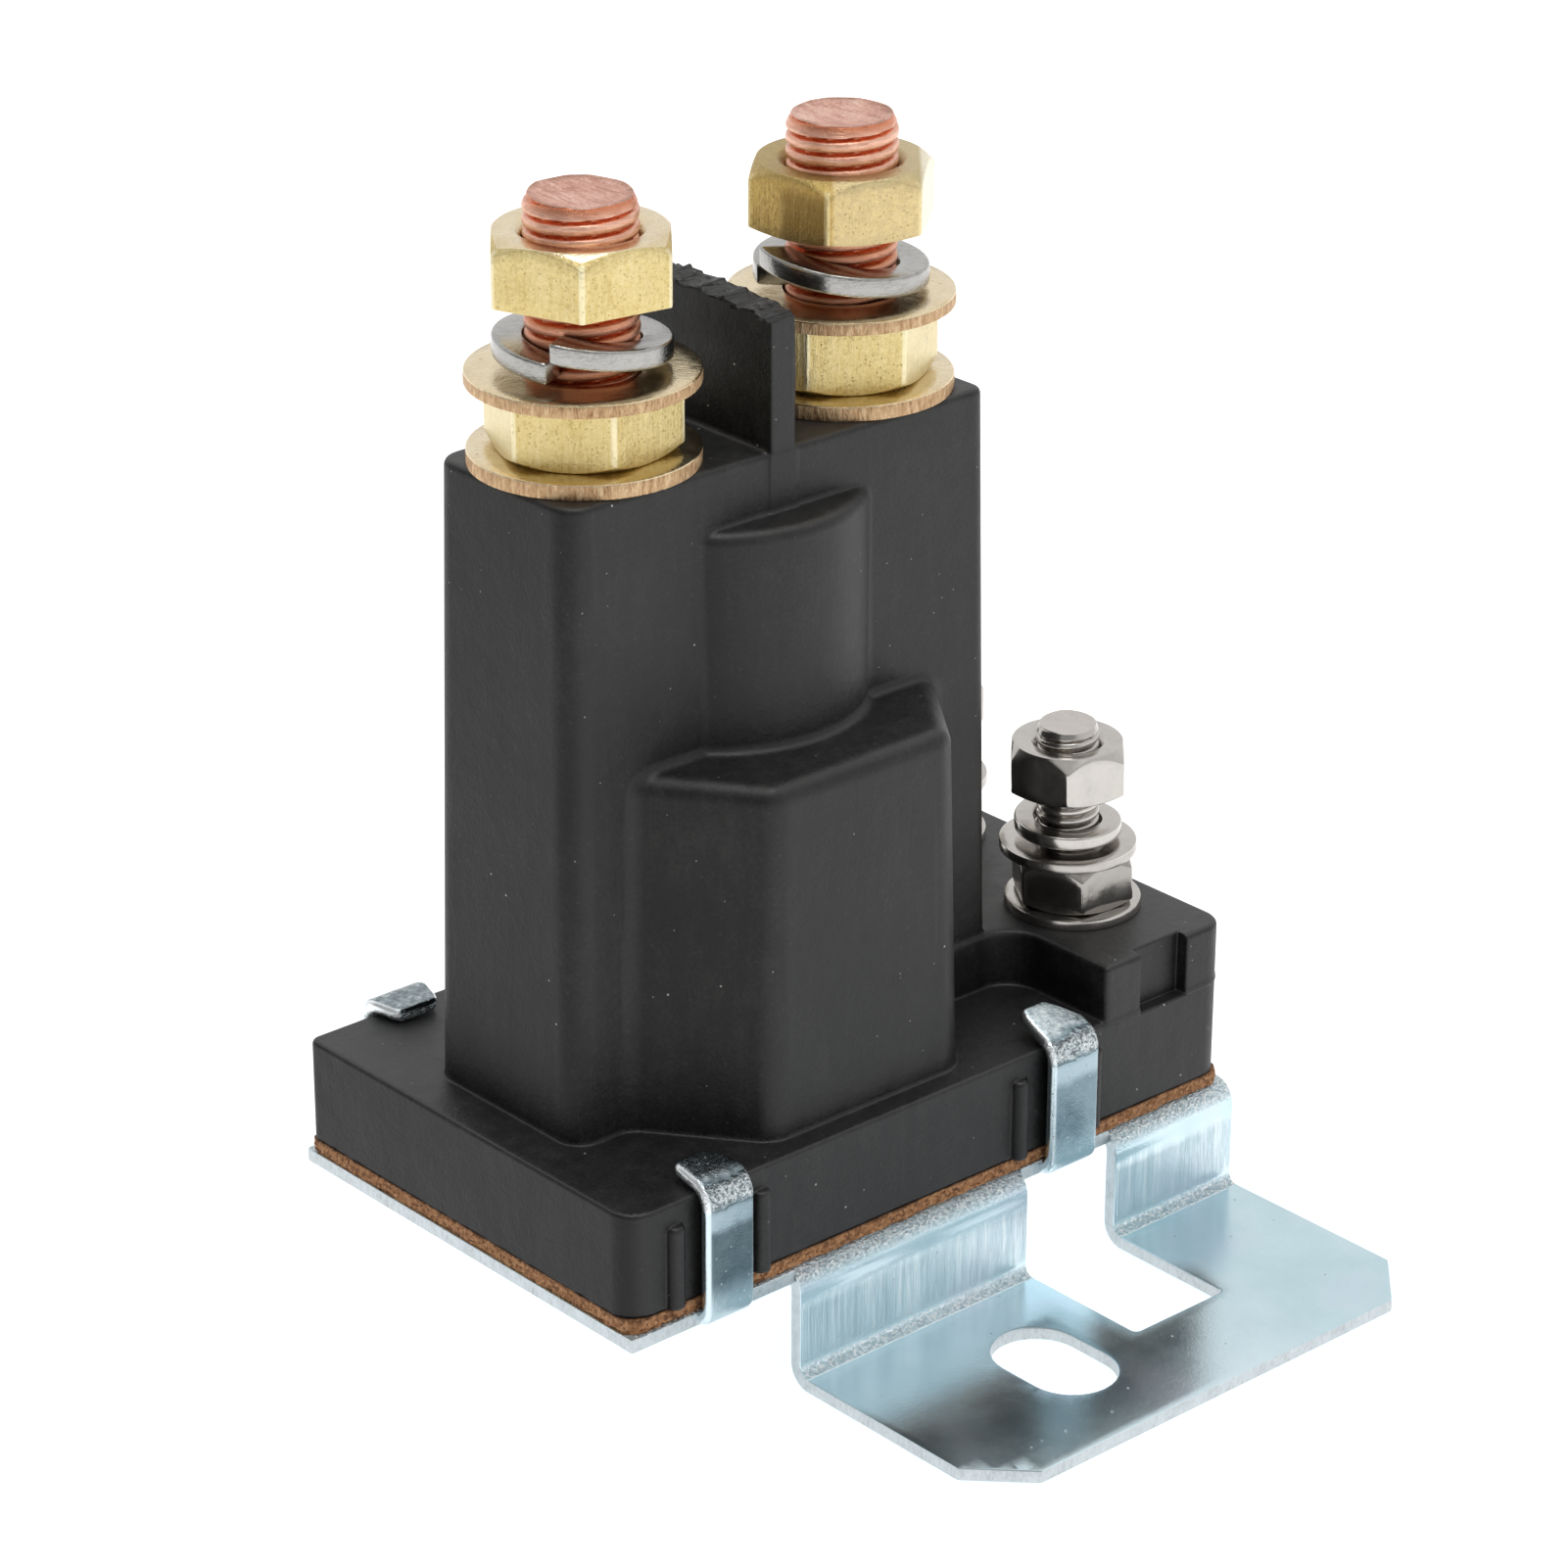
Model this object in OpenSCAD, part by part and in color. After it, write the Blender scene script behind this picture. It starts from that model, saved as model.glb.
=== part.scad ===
// Plunger-type starter relay: moulded case on a folded zinc bracket,
// two heavy load studs on top, two coil studs at the side.
// Millimetres. Origin: centre of the mounting plane under the two feet.
// +X runs along the line of the load studs towards the coil studs,
// -Y faces the foot that is seen first, +Z is up.

/* [Case] */
// Length of the case base along X
base_l = 61; // [60:0.5:62]
// Width of the case base along Y
base_w = 38.3; // [38:0.1:38.5]
// Height of the case base above the gasket
base_h = 8.45; // [8.2:0.05:8.6]
// Height of the coil stud platform above the case base
platform_h = 4.6; // [4.3:0.1:5]
// Height of the tower above the case base
tower_h = 49.3; // [49:0.1:49.6]
// Height of the barrier between the load studs
barrier_h = 11; // [8:0.1:12]
// Thickness of the barrier
barrier_t = 2.4; // [1.6:0.1:2.8]
// Radius of the upright barrel on the tower
barrel_r = 11.3; // [11.1:0.1:11.8]

/* [Bracket] */
// Thickness of the folded sheet
sheet_t = 1.1; // [0.9:0.1:1.2]
// Distance of each foot's outer edge from the centre
foot_y = 41.4; // [40:0.1:44]
// Left edge of each foot
foot_x0 = -15; // [-18:0.5:-12]
// Right edge of each foot
foot_x1 = 30.9; // [30.8:0.1:32]
// Chamfer on the foot's outer corners
foot_chamfer = 4.3; // [2:0.1:6]
// Left side of the cut-out that the tab is folded from
cut_x0 = 8.3; // [7:0.1:10]
// Right side of the same cut-out
cut_x1 = 17.8; // [17:0.1:19]
// How far the cut-out runs towards the foot's edge
cut_y = 32; // [28:0.5:35]
// Width of each mounting slot
slot_w = 7.2; // [5:0.1:8]
// Length of each mounting slot
slot_len = 10.6; // [9:0.1:12]
// Distance of each slot's centre from the middle of the bracket
slot_y = 30.9; // [30:0.1:32]

/* [Load studs] */
// Thread diameter of a load stud
stud_d = 8; // [7.8:0.02:8.04]
// Distance between the load studs
stud_pitch = 24.54; // [24:0.02:25]
// Height of the left stud's end above the mounting plane
stud_top_l = 88.7; // [88:0.1:90]
// Height of the right stud's end above the mounting plane
stud_top_r = 89.6; // [88:0.1:90]
// Width across flats of the load nuts
nut_af = 12.7; // [12:0.1:13]
// Thickness of the load nuts
nut_t = 4.85; // [4:0.05:4.9]
// Outside diameter of the load washers
washer_d = 16.9; // [16:0.1:17.4]
// Thickness of the load washers
washer_t = 1.2; // [1:0.05:1.3]

/* [Coil studs] */
// Thread diameter of a coil stud
cstud_d = 4.83; // [4.5:0.01:4.9]
// Distance of each coil stud from the centre line
cstud_y = 8.55; // [8:0.05:9]
// Width across flats of the coil nuts
cnut_af = 8.73; // [8:0.01:9]
// Thickness of the coil nuts
cnut_t = 4; // [3.2:0.1:4.1]
// Outside diameter of the coil washers
cwasher_d = 10.8; // [10:0.1:11.2]
// Thickness of the coil washers
cwasher_t = 0.85; // [0.6:0.05:0.9]

/* [Magnet] */
// Diameter of the moving plunger
plunger_d = 11.44; // [11.42:0.01:11.5]
// Outside diameter of the coil winding
coil_d = 26; // [22:0.5:26.5]
// Diameter of the contact disc
disc_d = 18.6; // [17:0.1:18.8]

/* [Hidden] */

foot_h = 8.8;                      // mounting plane to underside of the plate
z_plate = foot_h + sheet_t;        // top of the plate
z_cork = 10.95;                    // top of the gasket
z_base = z_cork + base_h;          // top of the case base
z_plat = z_base + platform_h;      // top of the platform
z_top = z_base + tower_h;          // top of the tower
cx = -5.76;                        // axis of the magnet and contacts
xs = [cx - stud_pitch / 2, cx + stud_pitch / 2];
xc = 23.3;                         // line of the coil studs
ztops = [stud_top_l, stud_top_r];

z_w1 = z_top + washer_t;           // load stack, from the tower upwards
jam_t = [nut_t, nut_t + 0.5];        // the right jam nut is the thicker one
top_washer_t = washer_t - 0.2;
z_n1 = [for (t = jam_t) z_w1 + t];
z_n2 = [81.15, 81.3];              // underside of the top nuts
z_cw1 = z_plat + cwasher_t;        // coil stack, from the platform upwards
z_cn1 = z_cw1 + cnut_t;
z_cw2 = z_cn1 + cwasher_t;
z_cn2 = 34.0;
z_cend = 39.5;
z_free = [for (z = z_n2) z + nut_t + 0.1];       // the free stud end above the top nut has the full thread diameter, the rest 0.4 less
z_cfree = z_cn2 + cnut_t + 0.1;

z_ceiling = 62.5;                  // inside top of the contact chamber
z_room = 44.8;                     // inside top of the magnet chamber
z_yoke = 42.2;                     // top of the yoke's legs
head_t = 3.6;                      // thickness of the stud heads
z_disc = 54.4;                     // underside of the contact disc at rest

// ---------- shared shapes ----------

// rectangle from corner to corner with the four corners rounded
module round_rect(x0, y0, x1, y1, r) {
  translate([x0 + r, y0]) square([x1 - x0 - 2 * r, y1 - y0]);
  translate([x0, y0 + r]) square([x1 - x0, y1 - y0 - 2 * r]);
  for (x = [x0 + r, x1 - r], y = [y0 + r, y1 - r]) translate([x, y]) circle(r = r, $fn = 32);
}

module flat_washer(do, di, t) {
  difference() {
    cylinder(d = do, h = t, $fn = 96);
    translate([0, 0, -1]) cylinder(d = di, h = t + 2, $fn = 64);
  }
}

// hexagon nut with one face chamfered; up = 1 puts the chamfer on top
module hex_nut(af, t, di, up) {
  r = af / 2 / cos(30);
  difference() {
    intersection() {
      cylinder(r = r, h = t, $fn = 6);
      translate([0, 0, up ? 0 : t]) mirror([0, 0, up ? 0 : 1]) union() {
        cylinder(r = r + 1, h = t - 1.38, $fn = 64);
        translate([0, 0, t - 1.38]) cylinder(r1 = af / 2 + 1.05, r2 = af / 2 - 0.15, h = 1.38, $fn = 64);
      }
    }
    translate([0, 0, -1]) cylinder(d = di, h = t + 2, $fn = 64);
    translate([0, 0, up ? t - 0.3 : -0.01]) cylinder(d1 = di + (up ? 0 : 0.6), d2 = di + (up ? 0.6 : 0), h = 0.31, $fn = 64);
  }
}

// split spring washer: one turn of square wire that climbs by rise.
// a0 is where its raised end starts, tilt leans the turn towards lean.
function lock_z(k, n, rise, tilt, a, lean) = -rise * k / n + tilt * cos(a - lean);
module lock_ring(ri, ro, t, rise, a0, gap, tilt, lean, n = 48) {
  ang = [for (k = [0 : n]) a0 + gap / 2 + (360 - gap) * k / n];
  zz = [for (k = [0 : n]) lock_z(k, n, rise, tilt, ang[k], lean)];
  pts = [for (k = [0 : n]) for (c = [[ri, 0], [ro, 0], [ro, t], [ri, t]])
    [c[0] * cos(ang[k]), c[0] * sin(ang[k]), c[1] + zz[k]]];
  side = [for (k = [0 : n - 1]) for (j = [0 : 3])
    for (f = [[4 * k + j, 4 * k + (j + 1) % 4, 4 * k + 4 + j],
              [4 * k + (j + 1) % 4, 4 * k + 4 + (j + 1) % 4, 4 * k + 4 + j]]) f];
  caps = [[0, 2, 1], [0, 3, 2], [4 * n, 4 * n + 1, 4 * n + 2], [4 * n, 4 * n + 2, 4 * n + 3]];
  polyhedron(points = pts, faces = concat([for (f = side) [f[0], f[2], f[1]]], [for (f = caps) [f[0], f[2], f[1]]]), convexity = 6);
}

// helical compression spring of round wire between z0 and z1 (outer faces of the wire)
module coil_spring(r, w, turns, z0, z1, steps = 20, sides = 8) {
  n = turns * steps;
  za = z0 + w / 2;
  zb = z1 - w / 2;
  // one closed turn at each end, evenly pitched between
  function lift(k) = let (u = k / steps) u < 0.5 ? za : u > turns - 0.5 ? zb : za + (zb - za) * (u - 0.5) / (turns - 1);
  pts = [for (k = [0 : n]) let (a = 360 * k / steps) for (j = [0 : sides - 1]) let (b = 360 * j / sides)
    [(r + w / 2 * cos(b)) * cos(a), (r + w / 2 * cos(b)) * sin(a), lift(k) + w / 2 * sin(b)]];
  side = [for (k = [0 : n - 1]) for (j = [0 : sides - 1]) let (j2 = (j + 1) % sides)
    for (f = [[sides * k + j, sides * (k + 1) + j, sides * k + j2],
              [sides * k + j2, sides * (k + 1) + j, sides * (k + 1) + j2]]) f];
  cap0 = [for (j = [1 : sides - 2]) [0, j, j + 1]];
  cap1 = [for (j = [1 : sides - 2]) [sides * n, sides * n + j + 1, sides * n + j]];
  polyhedron(points = pts, faces = concat([for (f = side) [f[0], f[2], f[1]]], [for (f = cap0) [f[0], f[2], f[1]]], [for (f = cap1) [f[0], f[2], f[1]]]), convexity = 10);
}

// round wire between two points
module wire(p, q, d) {
  v = q - p;
  l = norm(v);
  translate(p) rotate([0, acos(v[2] / l), atan2(v[1], v[0])]) cylinder(d = d, h = l, $fn = 20);
}

// ---------- case ----------

// plan of the lower housing round the magnet, grown by g
module magnet_plan(x0, x1, fx0, fx1, y0, y1) {
  polygon([[x0, -y0], [fx0, -y1], [fx1, -y1], [x1, -y0], [x1, y0], [fx1, y1], [fx0, y1], [x0, y0]]);
}

module tower_solid() {
  hull() {
    translate([0, 0, z_base - 0.5]) linear_extrude(0.5) round_rect(-26.6, -8.5, 15.0, 8.5, 2.2);
    translate([0, 0, z_top - 0.2]) linear_extrude(0.2) round_rect(-25.75, -7.7, 14.25, 7.7, 2);
  }
  hull() {
    translate([0, 0, z_base - 0.5]) linear_extrude(0.5) magnet_plan(-21.7, 10.2, -14.9, 3.4, 8.4, 17.1);
    translate([0, 0, 47]) linear_extrude(0.2) magnet_plan(-20.6, 9.1, -14.3, 2.8, 7.9, 16.6);
  }
  translate([cx, 0, 40]) cylinder(r = barrel_r, h = 64.1 - 40, $fn = 128);
  // barrier between the load studs
  translate([-6 - barrier_t / 2, -7.7, z_top - 1]) cube([barrier_t, 15.4, barrier_h + 1]);
}

module platform_plan() {
  difference() {
    union() {
      round_rect(17.1, -base_w / 2, base_l / 2, base_w / 2, 2.2);
      for (s = [-1, 1]) translate([17.1, s * (base_w / 2 - 1.5) - 1.5]) square([3, 3]);
      translate([13, -8.65]) square([5, 17.3]);
      for (s = [-1, 1]) translate([14, s * 10.2 - 1.75]) square([3.3, 3.5]);
    }
    for (s = [-1, 1]) translate([14, s * 11.75]) circle(r = 3.1, $fn = 64);
    for (s = [-1, 1]) translate([13, s * 12.4 - 0.65]) square([1, 1.3]);
  }
}

module case() {
  color([0.11, 0.11, 0.12]) difference() {
    union() {
      translate([0, 0, z_cork]) linear_extrude(base_h) round_rect(-base_l / 2, -base_w / 2, base_l / 2, base_w / 2, 2.2);
      translate([0, 0, z_base - 0.5]) linear_extrude(platform_h + 0.5) platform_plan();
      tower_solid();
      // upright ribs beside each clinch tab
      for (s = [-1, 1], x = [-26.3, -18.1, 8.0, 15.8])
        translate([x, s * base_w / 2, z_cork]) cylinder(r = 0.75, h = 6.7, $fn = 24);
    }
    // pocket in the front of the platform, open at the top
    translate([21, -base_w / 2 - 1, 19]) cube([4.9, 2.1, 10]);
    // hollow under the base
    translate([0, 0, z_cork - 1]) linear_extrude(7.3) round_rect(-28.4, -17, 28.4, 17, 1.5);
    // magnet chamber, open at the bottom
    translate([0, 0, z_cork - 1]) linear_extrude(z_room - z_cork + 1) magnet_plan(-18.8, 7.3, -13.8, 2.3, 7.6, 14.6);
    // slot for the yoke and the stud heads, up to the ceiling
    translate([-24.3, -6, z_cork - 1]) cube([37.1, 12, z_ceiling - z_cork + 1]);
    // contact chamber
    translate([cx, 0, z_room - 1]) cylinder(r = 9.8, h = z_ceiling - z_room + 1, $fn = 96);
    // seat of the return spring
    translate([cx, 0, z_ceiling - 1]) cylinder(r = 3.7, h = 5.2, $fn = 48);
    // hollow under the platform
    translate([17.6, -15, z_cork]) cube([10.8, 30, 9]);
    // stud holes
    for (x = xs) translate([x, 0, z_ceiling - 1]) cylinder(d = stud_d + 0.1, h = 20, $fn = 64);
    for (s = [-1, 1]) translate([xc, s * cstud_y, z_cork]) cylinder(d = cstud_d + 0.1, h = 20, $fn = 48);
  }
}

module gasket() {
  color([0.62, 0.4, 0.22]) translate([-base_l / 2 - 0.2, -19.35, z_plate]) cube([base_l + 0.4, 38.7, z_cork - z_plate]);
}

// ---------- bracket ----------

// quarter of a bend: ring between ri and ro turned by sector a0..a1 (at most 100 degrees)
module bend(ri, ro, a0, a1) {
  intersection() {
    difference() { circle(r = ro, $fn = 64); circle(r = ri, $fn = 64); }
    polygon([[0, 0], [3 * ro * cos(a0), 3 * ro * sin(a0)], [3 * ro * cos((a0 + a1) / 2), 3 * ro * sin((a0 + a1) / 2)], [3 * ro * cos(a1), 3 * ro * sin(a1)]]);
  }
}

// drawn in (y, z), swept along X from x0 to x1
module along_x(x0, x1) { translate([x0, 0, 0]) rotate([90, 0, 90]) linear_extrude(x1 - x0) children(); }

// foot, web and the bends between them, as a profile in (y, z)
web_y = -20.1;
bi = 0.8;
module foot_profile() {
  bo = bi + sheet_t;
  translate([web_y + bo, foot_h]) square([3, sheet_t]);
  translate([web_y + bo, z_plate - bo]) bend(bi, bo, 90, 180);
  translate([web_y, bo]) square([sheet_t, z_plate - 2 * bo]);
  translate([web_y - bi, bo]) bend(bi, bo, 270, 360);
  translate([-foot_y, 0]) square([foot_y + web_y - bi, sheet_t]);
}

// clinch tab: turned up from the plate, then folded in over the case by angle a
tab_y = -19.65;
module tab_profile(a, zc, ri, tip) {
  bo = 0.3 + sheet_t;
  translate([tab_y + 0.3, foot_h]) square([2, sheet_t]);
  translate([tab_y + 0.3, foot_h + bo]) bend(0.3, bo, 180, 270);
  translate([tab_y - sheet_t, foot_h + bo]) square([sheet_t, zc - foot_h - bo]);
  translate([tab_y + ri, zc]) {
    bend(ri, ri + sheet_t, 180 - a, 180);
    rotate(180 - a) {
      translate([ri, -tip]) square([sheet_t, tip]);
      translate([ri + 0.3, -0.3]) square([sheet_t - 0.6, 0.6]);
    }
  }
}

// one tab between x0 and x1; past the fold each side runs in by taper
module tab(x0, x1, a, tip, taper) {
  difference() {
    along_x(x0, x1) tab_profile(a, 18.55, 1.1, tip);
    for (e = [[x0, 1], [x1, -1]]) translate([0, 0, 18]) linear_extrude(6)
      polygon([[e[0] - e[1], -18.6], [e[0], -18.6], [e[0] + e[1] * taper, -15.2], [e[0] + e[1] * taper, -14], [e[0] - e[1], -14]]);
  }
}

module half_bracket() {
  difference() {
    union() {
      translate([-base_l / 2 - 0.2, -19.5, foot_h]) cube([base_l + 0.4, 19.6, sheet_t]);
      along_x(foot_x0, foot_x1) foot_profile();
    }
    // where the foot leaves the plate its edge follows the bend
    translate([foot_x0, -19.6, foot_h - 3]) difference() {
      cube([foot_x1 - foot_x0 + 1, 1.41, 6]);
      translate([-foot_x0, 19.6, 3 - foot_h]) along_x(foot_x0 - 1, foot_x1 + 1) foot_profile();
    }
    // blank of the tab, taken out of the foot and the web
    translate([cut_x0, -cut_y, -1]) cube([cut_x1 - cut_x0, cut_y - 18.19, 12]);
    // clipped corners
    for (c = [[foot_x0, 1], [foot_x1, -1]]) translate([c[0], -foot_y, -1]) linear_extrude(4)
      polygon([[-c[1], -1], [c[1] * (foot_chamfer + 1), -1], [c[1] * foot_chamfer, 0], [0, foot_chamfer], [-c[1], foot_chamfer + 1]]);
    // mounting slot
    translate([0.8, -slot_y, -1]) {
      for (s = [-1, 1]) translate([0, s * (slot_len - slot_w) / 2, 0]) cylinder(d = slot_w, h = 4, $fn = 64);
      translate([-slot_w / 2, -(slot_len - slot_w) / 2, 0]) cube([slot_w, slot_len - slot_w, 4]);
    }
  }
  // the plate runs straight on to the tab
  translate([cut_x0 - 0.1, -19.3, foot_h]) cube([cut_x1 - cut_x0 + 0.2, 1.4, sheet_t]);
}

module bracket() {
  color([0.74, 0.8, 0.84]) union() {
    half_bracket();
    mirror([0, 1, 0]) half_bracket();
    tab(-24.45, -19.95, 94.5, 2.5, 0.94);
    tab(10.2, 15.1, 78, 2.63, 1.85);
    mirror([0, 1, 0]) {
      tab(-24.6, -19.3, 94.5, 2.15, 0.94);
      tab(10.2, 15.1, 94.5, 2.15, 0.94);
    }
  }
}

// ---------- load studs and their hardware ----------

module load_stud(i) {
  color([0.85, 0.5, 0.4]) translate([xs[i], 0, 0]) union() {
    translate([-5.8, -5.8, z_ceiling - head_t]) cube([11.6, 11.6, head_t]);
    translate([0, 0, z_ceiling - 0.5]) cylinder(d = stud_d - 0.4, h = z_free[i] - z_ceiling + 0.6, $fn = 64);
    translate([0, 0, z_free[i]]) cylinder(d = stud_d, h = ztops[i] - z_free[i] - 1, $fn = 64);
    translate([0, 0, ztops[i] - 1]) cylinder(d1 = stud_d, d2 = stud_d - 1, h = 1, $fn = 64);
  }
}
module load_stud_left() { load_stud(0); }
module load_stud_right() { load_stud(1); }

module load_base_washers() { color([0.8, 0.67, 0.42]) for (x = xs) translate([x, 0, z_top]) flat_washer(washer_d, stud_d + 0.6, washer_t); }
module load_jam_nuts() { color([0.86, 0.74, 0.4]) for (i = [0, 1]) translate([xs[i], 0, z_w1]) rotate([-112.1, -152][i]) hex_nut(nut_af, jam_t[i], stud_d + 0.1, 0); }
module load_top_washers() { color([0.8, 0.67, 0.42]) for (i = [0, 1]) translate([xs[i], 0, z_n1[i]]) flat_washer(washer_d, stud_d + 0.6, top_washer_t); }
module load_lock_washers() {
  color([0.62, 0.63, 0.65]) {
    translate([xs[0], 0, 77.5]) lock_ring(4.2, 6.4, 1.6, 1.55, -148, 3, 0.6, 155);
    translate([xs[1], 0, 78.2]) lock_ring(4.2, 6.4, 1.6, 1.55, 158, 3, 0.65, 125);
  }
}
module load_top_nuts() { color([0.86, 0.74, 0.4]) for (i = [0, 1]) translate([xs[i], 0, z_n2[i]]) rotate([-129.1, -140.5][i]) hex_nut(nut_af, nut_t, stud_d + 0.1, 1); }

// ---------- coil studs and their hardware ----------

module coil_stud(s) {
  color([0.68, 0.67, 0.65]) translate([xc, s * cstud_y, 0]) union() {
    translate([0, 0, 18.35]) cylinder(r = 4, h = 1.6, $fn = 48);
    translate([0, 0, 19]) cylinder(d = cstud_d - 0.4, h = z_cfree - 18.9, $fn = 48);
    translate([0, 0, z_cfree]) cylinder(d = cstud_d, h = z_cend - z_cfree - 0.7, $fn = 48);
    translate([0, 0, z_cend - 0.7]) cylinder(d1 = cstud_d, d2 = cstud_d - 0.8, h = 0.7, $fn = 48);
  }
}
module coil_stud_front() { coil_stud(-1); }
module coil_stud_rear() { coil_stud(1); }

module coil_base_washers() { color([0.66, 0.65, 0.63]) for (s = [-1, 1]) translate([xc, s * cstud_y, z_plat]) flat_washer(cwasher_d, cstud_d + 0.5, cwasher_t); }
module coil_jam_nuts() { color([0.66, 0.65, 0.63]) for (s = [-1, 1]) translate([xc, s * cstud_y, z_cw1]) rotate(s < 0 ? -124.8 : -95) hex_nut(cnut_af, cnut_t, cstud_d + 0.1, 0); }
module coil_top_washers() { color([0.66, 0.65, 0.63]) for (s = [-1, 1]) translate([xc, s * cstud_y, z_cn1]) flat_washer(cwasher_d, cstud_d + 0.5, cwasher_t); }
module coil_lock_washers() {
  color([0.62, 0.61, 0.6]) {
    translate([xc, -cstud_y, 30.75]) lock_ring(2.65, 4.2, 1.1, 0.9, 75, 5, 0.15, 0, 36);
    translate([xc, cstud_y, 30.6]) lock_ring(2.65, 4.2, 1.1, 0.9, 20, 5, 0.1, 90, 36);
  }
}
module coil_top_nuts() { color([0.66, 0.65, 0.63]) for (s = [-1, 1]) translate([xc, s * cstud_y, z_cn2]) rotate(s < 0 ? -134.7 : -110) hex_nut(cnut_af, cnut_t, cstud_d + 0.1, 1); }

// ---------- magnet ----------

module yoke() {

  color([0.5, 0.51, 0.53]) translate([cx, 0, 0]) union() {
    translate([-16.5, -5.6, z_cork]) cube([33, 11.2, 1.6]);
    for (s = [-1, 1]) translate([s > 0 ? 14.9 : -16.5, -5.6, z_cork]) cube([1.6, 11.2, z_yoke - z_cork]);
  }
}
module pole_plate() {
  color([0.5, 0.51, 0.53]) translate([cx, 0, z_yoke]) difference() {
    union() {
      translate([-16.5, -5.6, 0]) cube([33, 11.2, 1.8]);
      cylinder(r = 10, h = 1.8, $fn = 64);
    }
    translate([0, 0, -1]) cylinder(r = 4.05, h = 4, $fn = 48);
  }
}
module fixed_core() {
  color([0.56, 0.57, 0.58]) translate([cx, 0, 0]) difference() {
    union() {
      translate([0, 0, 34]) cylinder(r = 5.7, h = z_yoke - 34, $fn = 64);
      translate([0, 0, z_yoke - 0.5]) cylinder(r = 4, h = 2.9, $fn = 48);
    }
    translate([0, 0, 33]) cylinder(r = 1.58, h = 13, $fn = 32);
  }
}
module guide_sleeve() {
  color([0.78, 0.64, 0.35]) translate([cx, 0, z_cork + 1.6]) difference() {
    cylinder(r = 6.1, h = z_yoke - z_cork - 1.6, $fn = 64);
    translate([0, 0, -1]) cylinder(d = plunger_d + 0.16, h = 40, $fn = 64);
  }
}
module bobbin() {
  color([0.85, 0.83, 0.76]) translate([cx, 0, 0]) difference() {
    union() {
      translate([0, 0, 12.7]) cylinder(r = 13.8, h = 1.3, $fn = 64);
      translate([0, 0, 13]) cylinder(r = 7.2, h = 28, $fn = 64);
      translate([0, 0, 40.7]) cylinder(r = 13.8, h = 1.3, $fn = 64);
    }
    translate([0, 0, 10]) cylinder(r = 6.15, h = 40, $fn = 64);
  }
}
module winding() {
  color([0.66, 0.34, 0.16]) translate([cx, 0, 14.05]) difference() {
    cylinder(d = coil_d, h = 26.6, $fn = 64);
    translate([0, 0, -1]) cylinder(r = 7.25, h = 30, $fn = 64);
  }
}
// the winding's two ends, led under the base to the coil studs
module coil_leads() {
  color([0.7, 0.36, 0.18]) for (s = [-1, 1]) {
    a = [cx + 11.6, s * 7.4, 15.2];
    b = [14, s * 9, 14.4];
    c = [xc, s * cstud_y, 15.5];
    d = [xc, s * cstud_y, 18.3];
    wire(a, b, 1);
    translate(b) sphere(d = 1, $fn = 20);
    wire(b, c, 1);
    translate(c) sphere(d = 1, $fn = 20);
    wire(c, d, 1);
  }
}
module bump_pad() { color([0.2, 0.2, 0.2]) translate([cx, 0, z_cork + 1.6]) cylinder(r = 5.4, h = 2.4, $fn = 48); }

// ---------- moving system ----------

module plunger() {
  color([0.6, 0.61, 0.62]) translate([cx, 0, 15]) difference() {
    cylinder(d = plunger_d, h = 16, $fn = 64);
    translate([0, 0, 9]) cylinder(r = 1.52, h = 8, $fn = 32);
  }
}
module stem() { color([0.72, 0.72, 0.72]) translate([cx, 0, 24]) cylinder(r = 1.5, h = 34.4, $fn = 32); }
module spring_seat() { color([0.65, 0.65, 0.66]) translate([cx, 0, 46.9]) flat_washer(6.8, 3.04, 0.9); }
module stem_clip() { color([0.55, 0.55, 0.56]) translate([cx, 0, 57]) flat_washer(6, 3.04, 0.7); }
module contact_disc() {
  color([0.8, 0.46, 0.34]) translate([cx, 0, z_disc]) flat_washer(disc_d, 5.1, 1.6);
}
module lower_bush() {
  color([0.5, 0.3, 0.16]) translate([cx, 0, 53]) difference() {
    union() {
      cylinder(r = 4.2, h = z_disc - 53, $fn = 48);
      cylinder(r = 2.5, h = 3, $fn = 48);
    }
    translate([0, 0, -1]) cylinder(r = 1.58, h = 6, $fn = 32);
  }
}
module upper_bush() { color([0.5, 0.3, 0.16]) translate([cx, 0, 56]) flat_washer(8.4, 3.16, 1); }
module contact_spring() { color([0.6, 0.6, 0.62]) translate([cx, 0, 0]) coil_spring(2.4, 0.5, 4.5, 47.8, 53); }
module return_spring() { color([0.6, 0.6, 0.62]) translate([cx, 0, 0]) coil_spring(2.6, 0.5, 5.5, 57.7, 66.7); }

case();
gasket();
bracket();
load_stud_left();
load_stud_right();
load_base_washers();
load_jam_nuts();
load_top_washers();
load_lock_washers();
load_top_nuts();
coil_stud_front();
coil_stud_rear();
coil_base_washers();
coil_jam_nuts();
coil_top_washers();
coil_lock_washers();
coil_top_nuts();
yoke();
pole_plate();
fixed_core();
guide_sleeve();
bobbin();
winding();
coil_leads();
bump_pad();
plunger();
stem();
spring_seat();
stem_clip();
contact_disc();
lower_bush();
upper_bush();
contact_spring();
return_spring();
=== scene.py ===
"""Visual model of a starter relay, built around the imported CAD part. Lengths in the helpers are in millimetres."""
import math

import bmesh
import bpy
import numpy as np
from mathutils import Matrix, Vector
from mathutils.geometry import delaunay_2d_cdt


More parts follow.
